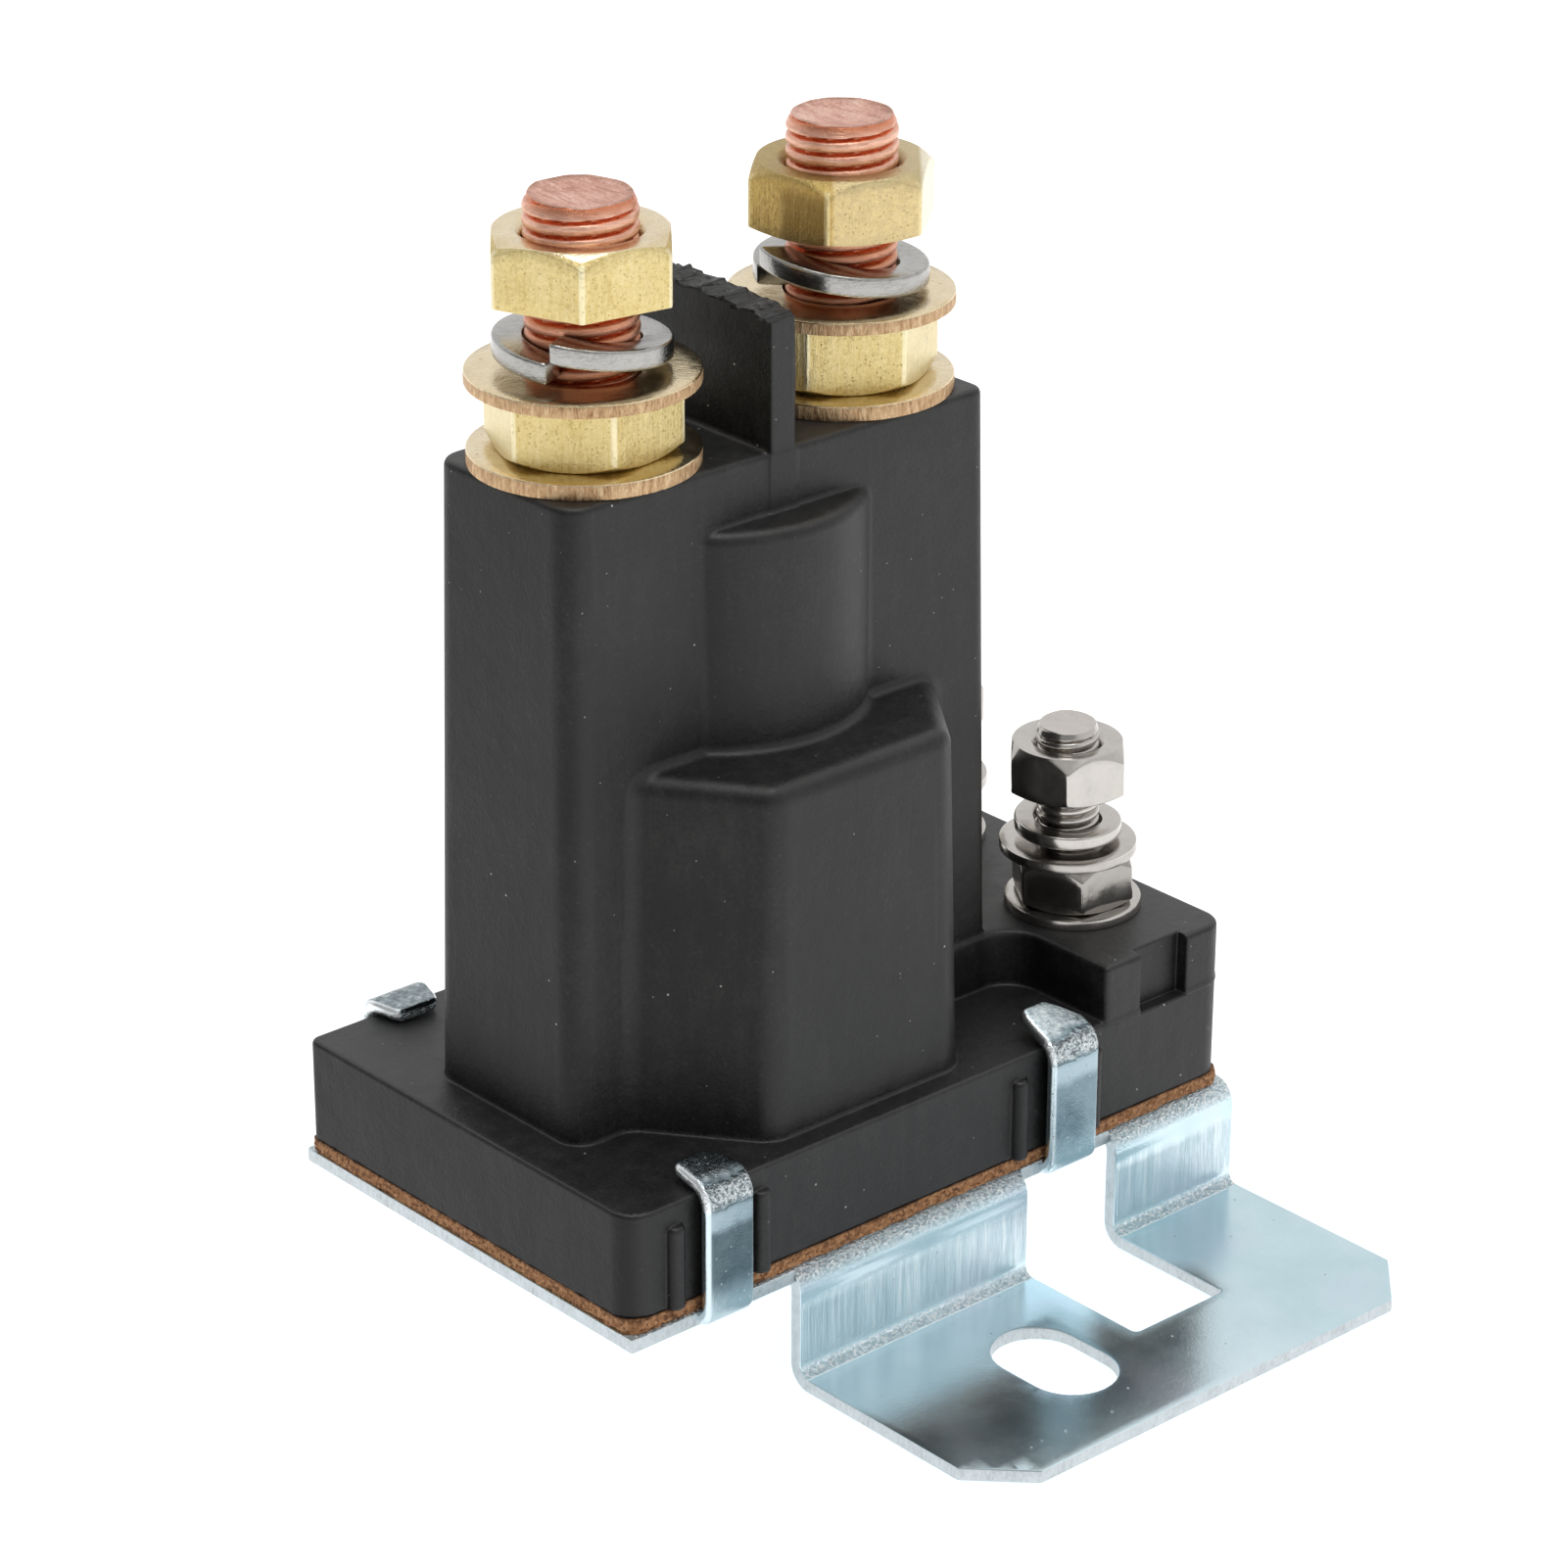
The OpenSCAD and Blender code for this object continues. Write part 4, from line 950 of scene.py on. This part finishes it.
def make_gasket():
    path = resample(rounded_path([(-30.62, -19.27), (30.62, -19.27), (30.62, 19.27), (-30.62, 19.27)], [1.6, 1.6, 1.6, 0.8], 8), 0.22)
    n = len(path)
    r = np.random.RandomState(5)
    levels = np.linspace(0, 1, 8)
    base = np.convolve(np.tile(r.normal(0, 1, n), 3), np.ones(9) / 9, "same")[n : 2 * n]
    rings = []
    for i, q in enumerate(levels):
        own = np.convolve(np.tile(r.normal(0, 1, n), 3), np.ones(3) / 3, "same")[n : 2 * n]
        d = 0.06 + 0.10 * np.clip(base + 0.2, -1, 1) + 0.085 * own
        if i in (0, len(levels) - 1):
            d = d + 0.05
        d = np.clip(d, -0.05, 0.32)
        p = inset(path, 1.0)
        u = (p - path) / np.maximum(np.linalg.norm(p - path, axis=1), 1e-9)[:, None]
        z = Z_PLATE + 0.01 + q * (Z_CORK - Z_PLATE - 0.02)
        rings.append(np.concatenate([path + u * d[:, None], np.full((n, 1), z)], -1))
    lo, hi = rings[0].copy(), rings[-1].copy()
    for ring, flip in ((lo, True), (hi, False)):
        inner = []
        for s in (0.9,):
            q = ring.copy()
            q[:, :2] *= s
            inner.append(q)
        if flip:
            rings = inner + rings
        else:
            rings = rings + inner
    b = Build()
    v, f, k = loft(rings, caps=(True, True))
    b.add(v, f, k)
    b.piece("cork_gasket", [CORK], nodes=("gasket",), slot="cork", angle=50)


make_gasket()


# ---------- folded bracket ----------
W_BEND = 18.2          # flat plate ends here, measured from its centre line
R_MID = 0.8 + SHEET / 2
ARC = R_MID * math.pi / 2
W_WEB = W_BEND + ARC
W_LOW = W_WEB + (9.9 - 2 * 1.9)
W_FOOT = W_LOW + ARC
FOOT_W = W_FOOT + (41.4 - 20.9)


def fold(u, w, h, side):
    """Flat blank to the folded sheet. u along X, w outwards along the sheet, h above its middle."""
    y, z = np.empty_like(w), np.empty_like(w)
    a = w <= W_BEND
    y[a], z[a] = -w[a], 9.35 + h[a]
    a = (w > W_BEND) & (w <= W_WEB)
    p = math.pi / 2 + (w[a] - W_BEND) / R_MID
    y[a], z[a] = -18.2 + (R_MID + h[a]) * np.cos(p), 8.0 + (R_MID + h[a]) * np.sin(p)
    a = (w > W_WEB) & (w <= W_LOW)
    y[a], z[a] = -19.55 - h[a], 8.0 - (w[a] - W_WEB)
    a = (w > W_LOW) & (w <= W_FOOT)
    p = -(w[a] - W_LOW) / R_MID
    y[a], z[a] = -20.9 + (R_MID - h[a]) * np.cos(p), 1.9 + (R_MID - h[a]) * np.sin(p)
    a = w > W_FOOT
    y[a], z[a] = -20.9 - (w[a] - W_FOOT), 0.55 + h[a]
    return np.stack([u, y * side, z], -1)


def inside(p, loop):
    x, y = p[:, 0], p[:, 1]
    c = np.zeros(len(p), bool)
    for (x0, y0), (x1, y1) in zip(loop, np.roll(loop, -1, 0)):
        m = (y0 > y) != (y1 > y)
        with np.errstate(divide="ignore", invalid="ignore"):
            c ^= m & (x < (x1 - x0) * (y - y0) / (y1 - y0) + x0)
    return c


def sheet_patch(b, outer, holes, place, wlines, ustep, er=0.16, k_face=0, k_edge=1):
    """A sheet with rounded edges: faces triangulated over loops and inner points, sides as rings."""
    loops = [outer] + holes
    ins = [inset(p, er) for p in loops]
    pts, edges = [], []
    for p in ins:
        n0 = len(pts)
        pts += [tuple(q) for q in p]
        edges += [(n0 + i, n0 + (i + 1) % len(p)) for i in range(len(p))]
    nloop = len(pts)
    us = np.arange(outer[:, 0].min() + ustep / 2, outer[:, 0].max(), ustep)
    g = np.array([(u, w) for w in wlines for u in us])
    ok = inside(g, inset(outer, er + 0.12))
    for h in holes:
        ok &= ~inside(g, inset(h, er + 0.12))
    pts += [tuple(q) for q in g[ok]]
    vs, _, tris, ov, _, _ = delaunay_2d_cdt([Vector(p) for p in pts], edges, [], 0, 1e-7)
    vs = np.array([tuple(v) for v in vs])
    tris = np.array([t for t in tris])
    c = vs[tris].mean(1)
    keep = inside(c, ins[0])
    for h in ins[1:]:
        keep &= ~inside(c, h)
    tris = tris[keep]
    # check the orientation: counter-clockwise in (u, w)
    e1, e2 = vs[tris[:, 1]] - vs[tris[:, 0]], vs[tris[:, 2]] - vs[tris[:, 0]]
    bad = e1[:, 0] * e2[:, 1] - e1[:, 1] * e2[:, 0] < 0
    tris[bad] = tris[bad][:, ::-1]
    where = {}
    for out_i, ins_ in enumerate(ov):
        for i in ins_:
            where[i] = out_i
    t2 = SHEET / 2
    nv = len(vs)
    V = [np.column_stack([vs, np.full(nv, t2)]), np.column_stack([vs, np.full(nv, -t2)])]
    F = [t for t in tris] + [t[::-1] + nv for t in tris]
    K = [k_face] * len(F)
    base = 2 * nv
    start = 0
    for p, q in zip(loops, ins):
        n = len(p)
        rings = [(inset(p, er * 0.30), t2 - er * 0.10), (inset(p, er * 0.05), t2 - er * 0.5), (p, t2 - er), (p, -(t2 - er)), (inset(p, er * 0.05), -(t2 - er * 0.5)), (inset(p, er * 0.30), -(t2 - er * 0.10))]
        top = [where[start + i] for i in range(n)]
        bot = [where[start + i] + nv for i in range(n)]
        idx = [top]
        for ring, h in rings:
            V.append(np.column_stack([ring, np.full(n, h)]))
            idx.append(list(range(base, base + n)))
            base += n
        idx.append(bot)
        for r0, r1, k in zip(idx[:-1], idx[1:], (k_face, k_face, k_edge, k_edge, k_edge, k_face, k_face)):
            for i in range(n):
                j = (i + 1) % n
                F.append([r0[i], r1[i], r1[j], r0[j]])
                K.append(k)
        start += n
    V = np.concatenate(V)
    b.add(place(V[:, 0], V[:, 1], V[:, 2]), F, K)


def strip(b, path, x0, x1, er=0.2, k=0, tip=0.0, taper=(0.0, 0.0)):
    """A narrow strap. path is a list of (y, z, ny, nz) along the middle of the sheet; the last tip mm are rounded in plan.
    Past the fold each side runs in by taper over 3.4 mm."""
    path = np.array(path)
    seg = np.linalg.norm(np.diff(path[:, :2], axis=0), axis=1)
    s = np.concatenate([[0], np.cumsum(seg)])
    left = s[-1] - s
    xm, hw, t2 = (x0 + x1) / 2, (x1 - x0) / 2, SHEET / 2
    rings = []
    for (y, z, ny, nz), rest in zip(path, left):
        w, mid = hw, xm
        if z > 18:
            run = min(max(18.6 - abs(y), 0.0), 3.4) / 3.4
            w -= (taper[0] + taper[1]) * run / 2
            mid += (taper[0] - taper[1]) * run / 2
        if tip > 0 and rest < tip:
            w += -tip + math.sqrt(max(tip * tip - (tip - rest) ** 2, 0.0))
        e = er
        tt = t2
        if rest < 0.25:
            tt = t2 - 0.20 + math.sqrt(max(0.2 * 0.2 - (0.2 - min(rest, 0.2)) ** 2, 0))
        sec = []
        for cx_, ch, a0 in ((w - e, tt - e, 0), (-(w - e), tt - e, 90), (-(w - e), -(tt - e), 180), (w - e, -(tt - e), 270)):
            for q in np.linspace(0, 90, 5):
                g = math.radians(a0 + q)
                sec.append((cx_ + e * math.cos(g), ch + e * math.sin(g)))
        sec = np.array(sec)
        rings.append(np.stack([mid + sec[:, 0], y + ny * sec[:, 1], z + nz * sec[:, 1]], -1))
    v, f, kk = loft(rings, caps=(True, True))
    b.add(v, f, k)


def tab_path(a_deg, zc, ri, tip, side):
    """Middle line of a clinch tab at the front: up from the plate, then folded in over the case."""
    t2 = SHEET / 2
    ty = -19.65
    out = [(-17.0, 9.35, 0, 1)]
    for w in (-18.0, -18.8):
        out.append((w, 9.35, 0, 1))
    cy_, cz_, r = ty + 0.3, 9.9 + 0.3, 0.3 + t2
    for g in np.linspace(270, 180, 9):
        a = math.radians(g)
        out.append((cy_ + r * math.cos(a), cz_ + r * math.sin(a), -math.cos(a), -math.sin(a)))
    out = [(y, z, (ny if i > 2 else 0), (nz if i > 2 else 1)) for i, (y, z, ny, nz) in enumerate(out)]
    for z in np.linspace(10.6, zc - 0.2, 10):
        out.append((ty - t2, z, 1, 0))
    cy_, cz_, r = ty + ri, zc, ri + t2
    for g in np.linspace(180, 180 - a_deg, 15):
        a = math.radians(g)
        out.append((cy_ + r * math.cos(a), cz_ + r * math.sin(a), -math.cos(a), -math.sin(a)))
    a = math.radians(180 - a_deg)
    ey, ez = out[-1][0], out[-1][1]
    ty_, tz_ = math.sin(a), -math.cos(a)
    for q in list(np.linspace(0.12, tip - 0.25, 6)) + [tip - 0.18, tip - 0.12, tip - 0.07, tip - 0.03, tip - 0.005]:
        out.append((ey + ty_ * q, ez + tz_ * q, -math.cos(a), -math.sin(a)))
    return [(y * side, z, -ny * side, -nz) for y, z, ny, nz in out]


def make_bracket():
    b = Build()
    q = 1.0
    # plate: straight at both ends, notched where the feet bend down
    x0, x1, ye, yb = -30.7, 30.7, 19.5, 18.2

    def half(sgn):
        return [(x0, -ye), (-15.02, -ye), (-15.02, -yb), (8.3, -yb), (8.3, -19.3), (17.8, -19.3), (17.8, -yb), (x1, -yb)]

    lower = half(1)
    upper = [(x, -y) for x, y in lower][::-1]
    loop = lower + upper
    r = [0.25, 0.15, 0.15, 0.1, 0.1, 0.1, 0.1, 0.15]
    outer = resample_keep(rounded_path(loop, r + r[::-1], 4), 1.2)
    sheet_patch(b, outer, [], lambda u, w, h: np.stack([u, w, 9.35 + h], -1), np.arange(-18, 18.1, 3.0), 3.0, er=0.12)
    wl = np.concatenate([np.linspace(18.3, W_WEB, 13), np.linspace(W_WEB + 0.6, W_LOW - 0.5, 7), np.linspace(W_LOW, W_FOOT, 15), np.arange(W_FOOT + 0.8, FOOT_W, 1.9)])
    for side in (1, -1):
        c = 4.3
        loop = [(-15, 17.95), (8.3, 17.95), (8.3, W_FOOT + 11.1), (17.8, W_FOOT + 11.1), (17.8, 17.95), (30.9, 17.95), (30.9, FOOT_W - c), (30.9 - c, FOOT_W), (-15 + c, FOOT_W), (-15, FOOT_W - c)]
        rr = [0, 0, 0.5, 0.5, 0, 0, 0.5, 0.5, 0.5, 0.5]
        outer = resample_keep(rounded_path(loop, rr, 5), 0.35)
        ang = np.linspace(0, math.pi, 17)
        sc = W_FOOT + (30.9 - 20.9)
        s1 = [(0.8 + 3.6 * math.cos(t), sc + 1.7 + 3.6 * math.sin(t)) for t in ang]
        s2 = [(0.8 - 3.6 * math.cos(t), sc - 1.7 - 3.6 * math.sin(t)) for t in ang]
        slot = np.array(s1 + s2)[::-1]
        sheet_patch(b, outer, [slot], lambda u, w, h, s=side: fold(u, w, h, s), wl, 1.4 * q)
    for side, xa, xb, fold_deg, reach, taper in ((1, -24.45, -19.95, 80.0, 2.3, (0.1, 1.9)), (1, 10.2, 15.1, 65.0, 3.1, (0.0, 3.1)), (-1, -24.6, -19.3, 94.5, 2.15, (0.94, 0.94)), (-1, 10.2, 15.1, 94.5, 2.15, (0.94, 0.94))):
        strip(b, tab_path(fold_deg, 18.55, 1.1, reach, side), xa, xb, er=0.48, k=2, tip=0.6, taper=taper)
    b.piece("folded_bracket", [ZINC, ZINC_EDGE, ZINC_TAB_PAINTED_LIGHT], nodes=("bracket",), slot="zinc", angle=30)


def resample_keep(path, step):
    """Splits long edges, keeping every corner."""
    out = []
    for a, b in zip(path, np.roll(path, -1, 0)):
        n = max(1, int(math.ceil(np.linalg.norm(b - a) / step)))
        for i in range(n):
            out.append(a + (b - a) * i / n)
    return np.array(out)


make_bracket()


# ---------- load studs and their hardware ----------
PITCH = 1.058
for side, x, top, seed in (("left", XS[0], 88.7, 21), ("right", XS[1], 89.6, 34)):
    b = Build()
    block(b, polygon_outline(4, 5.8, 0.8, flat=4), 58.9, 62.5, 0.3, x, 0, turn=45)
    left = side == "left"
    threaded_rod(b, x, 0, 62.3, top, 4.14, PITCH, 0.50, 3.70, seed, n=88, rag=0.10 if left else 0.06, tip_drop=0.9, dish=0.26, slope=0.10 if left else 0.04, slope_at=85)
    b.piece("load_stud_copper_" + side, [COPPER, COPPER_END], nodes=("load_stud_" + side,), slot="copper_stud", angle=50)

Z_JAM = Z_TOP + 1.2
T_JAM = (4.85, 5.35)
Z_UPPER = (74.75, 75.25)
for i, side in enumerate(("left", "right")):
    x = XS[i]
    b = Build()
    washer(b, x, 0, Z_TOP, 4.3, 8.45, 1.2, seed=3 + i, n=200)
    b.piece("load_base_washer_" + side, [FACE, RIM], nodes=("load_base_washers",), slot="brass_washer")
    b = Build()
    washer(b, x, 0, Z_UPPER[i], 4.3, 8.49, 1.0, seed=13 + i, n=200)
    b.piece("load_top_washer_" + side, [FACE, RIM], nodes=("load_top_washers",), slot="brass_washer")
    b = Build()
    nut(b, x, 0, Z_JAM, T_JAM[i], 12.7, 4.19, JAM_TURN[i], top=False, bottom=True, seed=5 + i, cone=32.0, rc=0.18)
    b.piece("load_jam_nut_" + side, [JAM_BRASS[i], FACE], nodes=("load_jam_nuts",), slot="brass_nut", angle=38)
    b = Build()
    nut(b, x, 0, (81.15, 81.3)[i], 4.85, (12.6, 12.7)[i], 4.19, TOP_TURN[i], top=True, bottom=i == 1, cone=43.0, low=18.0, seed=8 + i, rc=0.20)
    b.piece("load_top_nut_" + side, [TOP_BRASS[i], (FACE, TOP_BRASS[1])[i]], nodes=("load_top_nuts",), slot="brass_nut", angle=38)
b = Build()
lock_washer(b, XS[0], 0, 77.5, 4.22, 6.45, 1.6, 1.55, -151.8, 2.4, 0.6, 155, skew=2.0, rc=0.26)
b.piece("load_lock_washer_left", [SPRING], nodes=("load_lock_washers",), slot="spring_steel", angle=45)
b = Build()
lock_washer(b, XS[1], 0, 78.0, 4.25, 6.5, 1.6, 1.55, 158, 3, 0.65, 125, skew=11.0, rc=0.26)
b.piece("load_lock_washer_right", [SPRING], nodes=("load_lock_washers",), slot="spring_steel", angle=45)

# ---------- coil studs and their hardware ----------
def lean_over(b, flat):
    """The front stack of the photograph is a little out of line: low to the camera's right, high to its left."""
    for v in b.v:
        z = v[:, 2]
        t = np.clip((z - 26.4) / 2.4, 0, 1) * (z > 28.84 if flat else 1.0)
        k = (0.40 - 0.047 * (z - 23.9)).clip(-0.4, 0.4) * (1 - t) + (-0.12 - 0.025 * (z - 29.0)).clip(-0.4, 0.4) * t
        v[:, 0] += 0.749 * k
        v[:, 1] -= 0.663 * k


for side, y, turns, ring in (("front", -CY, (-124.8, -134.7), (30.75, 75, 5, 0.15, 0)), ("rear", CY, (-95, -110), (30.6, 20, 5, 0.1, 90))):
    made = []
    b = Build()
    block(b, polygon_outline(24, 4.0, 0.5, flat=1, arc=2), 18.35, 19.95, 0.2, XC, y)
    threaded_rod(b, XC, y, 19.9, 39.5, 2.45, 0.794, 0.42, 2.20, 41, n=56, dish=0.12, rag=0.05, tip_drop=0.6, slope=0.08, slope_at=40)
    made.append((b, "coil_stud_" + side + "_threaded", [NICKEL, NICKEL_END], "coil_stud_" + side, 50))
    b = Build()
    washer(b, XC, y, Z_PLAT, 2.66, 5.4, 0.85, seed=51, n=140, rough=0.006, edge=0.2)
    made.append((b, "coil_base_washer_" + side, [NICKEL, NICKEL_RIM], "coil_base_washers", 35))
    b = Build()
    nut(b, XC, y, 24.85, 4.0, 8.73, 2.46, turns[0], top=True, bottom=True, seed=61, k_top=0, rc=0.24, low=26.0)
    made.append((b, "coil_jam_nut_" + side, [NICKEL_PAINTED_SHADE, NICKEL], "coil_jam_nuts", 38))
    b = Build()
    washer(b, XC, y, 28.85, 2.66, 5.4, 0.85, seed=57, n=140, rough=0.006, edge=0.2)
    made.append((b, "coil_top_washer_" + side, [NICKEL, NICKEL_RIM], "coil_top_washers", 35))
    b = Build()
    lock_washer(b, XC, y, ring[0], 2.65, 4.2, 1.1, 0.9, ring[1], ring[2], ring[3], ring[4], n=90, rc=0.2)
    made.append((b, "coil_lock_washer_" + side, [NICKEL], "coil_lock_washers", 45))
    b = Build()
    nut(b, XC, y, 34.0, 4.0, 8.73, 2.46, turns[1], top=True, bottom=True, seed=67, k_top=0, rc=0.24, low=26.0)
    made.append((b, "coil_top_nut_" + side, [NICKEL, NICKEL], "coil_top_nuts", 38))
    for b, name, mats, node, angle in made:
        if side == "front":
            lean_over(b, "stud" not in name)
        b.piece(name, mats, nodes=(node,), slot="nickel", angle=angle)

# ---------- inner parts, carried over from the CAD with their own materials ----------
IRON = mat_steel("soft_iron", 0.42, 0.3, 0.45, bump=0.02)
INNER = {
    "yoke": IRON, "pole_plate": IRON, "fixed_core": IRON, "plunger": mat_steel("plunger_nickel", 0.55, 0.18, 0.3, brushed=(0.3, 0.3, 3.0), bump=0.01),
    "guide_sleeve": mat_plain("sleeve_brass", (0.62, 0.45, 0.2), (0.82, 0.66, 0.36), 0.3, 1.0, 2.0, 0.01, (1, 1, 0.1)),
    "bobbin": mat_plain("nylon", (0.56, 0.52, 0.42), (0.66, 0.62, 0.52), 0.45, 0.0, 0.8, 0.02),
    "winding": mat_plain("magnet_wire", (0.30, 0.07, 0.02), (0.62, 0.22, 0.07), 0.35, 0.6, 3.0, 0.15, (0.15, 0.15, 1.6)),
    "coil_leads": mat_plain("lead_wire", (0.32, 0.08, 0.03), (0.60, 0.22, 0.08), 0.35, 0.6, 2.0, 0.02),
    "bump_pad": mat_plain("rubber_pad", (0.010, 0.010, 0.010), (0.03, 0.03, 0.03), 0.75, 0.0, 3.0, 0.05),
    "stem": mat_steel("stem_steel", 0.55, 0.2, 0.32, brushed=(0.4, 0.4, 2.0), bump=0.008),
    "spring_seat": mat_steel("seat_steel", 0.5, 0.25, 0.4),
    "stem_clip": mat_steel("clip_steel", 0.42, 0.25, 0.4),
    "contact_disc": mat_plain("contact_copper", (0.62, 0.24, 0.14), (0.84, 0.46, 0.33), 0.3, 1.0, 1.4, 0.02),
    "lower_bush": mat_plain("fibre_lower", (0.14, 0.04, 0.02), (0.27, 0.09, 0.04), 0.7, 0.0, 3.0, 0.04),
    "upper_bush": mat_plain("fibre_upper", (0.14, 0.04, 0.02), (0.27, 0.09, 0.04), 0.7, 0.0, 3.0, 0.04),
}
for name, m in INNER.items():
    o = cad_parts[name]
    if not o.material_slots:
        o.data.materials.append(m)
    for s in o.material_slots:
        s.material = m

# ---------- springs: the CAD's coils again -------------------------------------------


def spring(node, r, w, turns, z0, z1, body):
    """Coil with its ends closed for half a turn."""
    lo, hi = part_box(node)
    ax, ay = (lo[0] + hi[0]) / 2 / MM, (lo[1] + hi[1]) / 2 / MM
    u = np.linspace(0, turns, int(turns * 32) + 1)[:, None]
    g = -np.linspace(0, 2 * math.pi, 12, endpoint=False)[None, :]
    z = z0 + w / 2 + (z1 - z0 - w) * np.clip((u - 0.5) / (turns - 1), 0, 1)
    rr = r + w / 2 * np.cos(g)
    b = Build()
    v, f, _ = loft(np.stack([ax + rr * np.cos(2 * math.pi * u), ay + rr * np.sin(2 * math.pi * u), z + w / 2 * np.sin(g)], -1), caps=(True, True))
    b.add(v, f)
    o = b.piece(node + "_wire", [mat_steel(node + "_wire", 0.52, 0.2, 0.32, bump=0.006)], body=body, nodes=(node,), slot="spring_steel", angle=60)
    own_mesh(o)


spring("contact_spring", 2.4, 0.5, 4.5, 47.8, 53.0, "armature")
spring("return_spring", 2.6, 0.5, 5.5, 57.7, 66.7, "housing")

# ---------- floor, light, camera ----------
me = bpy.data.meshes.new("floor")
me.from_pydata([(-4, -4, -0.0003), (4, -4, -0.0003), (4, 4, -0.0003), (-4, 4, -0.0003)], [], [(0, 1, 2, 3)])
fm = bpy.data.materials.new("floor")
fm.use_nodes = True
fb = fm.node_tree.nodes["Principled BSDF"]
fb.inputs["Base Color"].default_value = (0.80, 0.80, 0.80, 1)
fb.inputs["Roughness"].default_value = 0.95
fb.inputs["Specular IOR Level"].default_value = 0.1
fb.inputs["Emission Color"].default_value = (1, 1, 1, 1)
fb.inputs["Emission Strength"].default_value = 0.63
me.materials.append(fm)
floor = bpy.data.objects.new("floor", me)
scene.collection.objects.link(floor)

world = bpy.data.worlds.new("studio")
scene.world = world
world.use_nodes = True
wt = world.node_tree
bg = wt.nodes["Background"]
bg.inputs[0].default_value = (1.0, 1.0, 1.0, 1)
wc = wt.nodes.new("ShaderNodeTexCoord")


def lobe(direction, start, full, low, high):
    dot = wt.nodes.new("ShaderNodeVectorMath")
    dot.operation = "DOT_PRODUCT"
    dot.inputs[1].default_value = direction
    wt.links.new(wc.outputs["Generated"], dot.inputs[0])
    r = wt.nodes.new("ShaderNodeMapRange")
    r.interpolation_type = "SMOOTHSTEP"
    for i, v in enumerate((start, full, low, high)):
        r.inputs[1 + i].default_value = v
    wt.links.new(dot.outputs["Value"], r.inputs[0])
    return r.outputs[0]


# bright wall behind the part, a lower one to the right of the camera, dim elsewhere
both = wt.nodes.new("ShaderNodeMath")
both.operation = "MAXIMUM"
wt.links.new(lobe((0.606, 0.683, 0.408), 0.10, 0.62, 0.36, 0.92), both.inputs[0])
wt.links.new(lobe((0.606, -0.683, 0.408), 0.45, 0.85, 0.30, 0.85), both.inputs[1])
wt.links.new(both.outputs[0], bg.inputs[1])


def light(name, loc, target, size, power, size_y=None):
    d = bpy.data.lights.new(name, "AREA")
    d.shape = "RECTANGLE" if size_y else "SQUARE"
    d.size = size
    if size_y:
        d.size_y = size_y
    d.energy = power
    o = bpy.data.objects.new(name, d)
    o.location = loc
    o.rotation_euler = (Vector(target) - Vector(loc)).to_track_quat("-Z", "Y").to_euler()
    scene.collection.objects.link(o)
    return o


sun = bpy.data.lights.new("soft_sun", "SUN")
sun.energy = 0.22
sun.angle = math.radians(60)
so = bpy.data.objects.new("soft_sun", sun)
so.rotation_euler = (math.radians(25), math.radians(-20), 0)
scene.collection.objects.link(so)
light("top_box", (-0.06, -0.08, 0.65), (0, 0, 0.05), 0.26, 0.9)

cam = bpy.data.cameras.new("camera")
cam.sensor_width = 36.0
cam.lens = 5081.583786514318 / 1601 * 36.0
cam.clip_start, cam.clip_end = 0.01, 20
co = bpy.data.objects.new("camera", cam)
right = Vector((0.74875271, -0.66284452, 0.00255379))
down = Vector((-0.268835587, -0.307195253, -0.912884716))
fwd = Vector((0.605885144, 0.682838355, -0.408209473))
rot = Matrix((right, -down, -fwd)).transposed().to_4x4()
co.matrix_world = Matrix.Translation((-0.228028210, -0.258168454, 0.192132292)) @ rot
scene.collection.objects.link(co)
scene.camera = co

scene.view_settings.view_transform = "Standard"
scene.view_settings.look = "None"
scene.view_settings.exposure = 0.0
scene.view_settings.gamma = 1.0
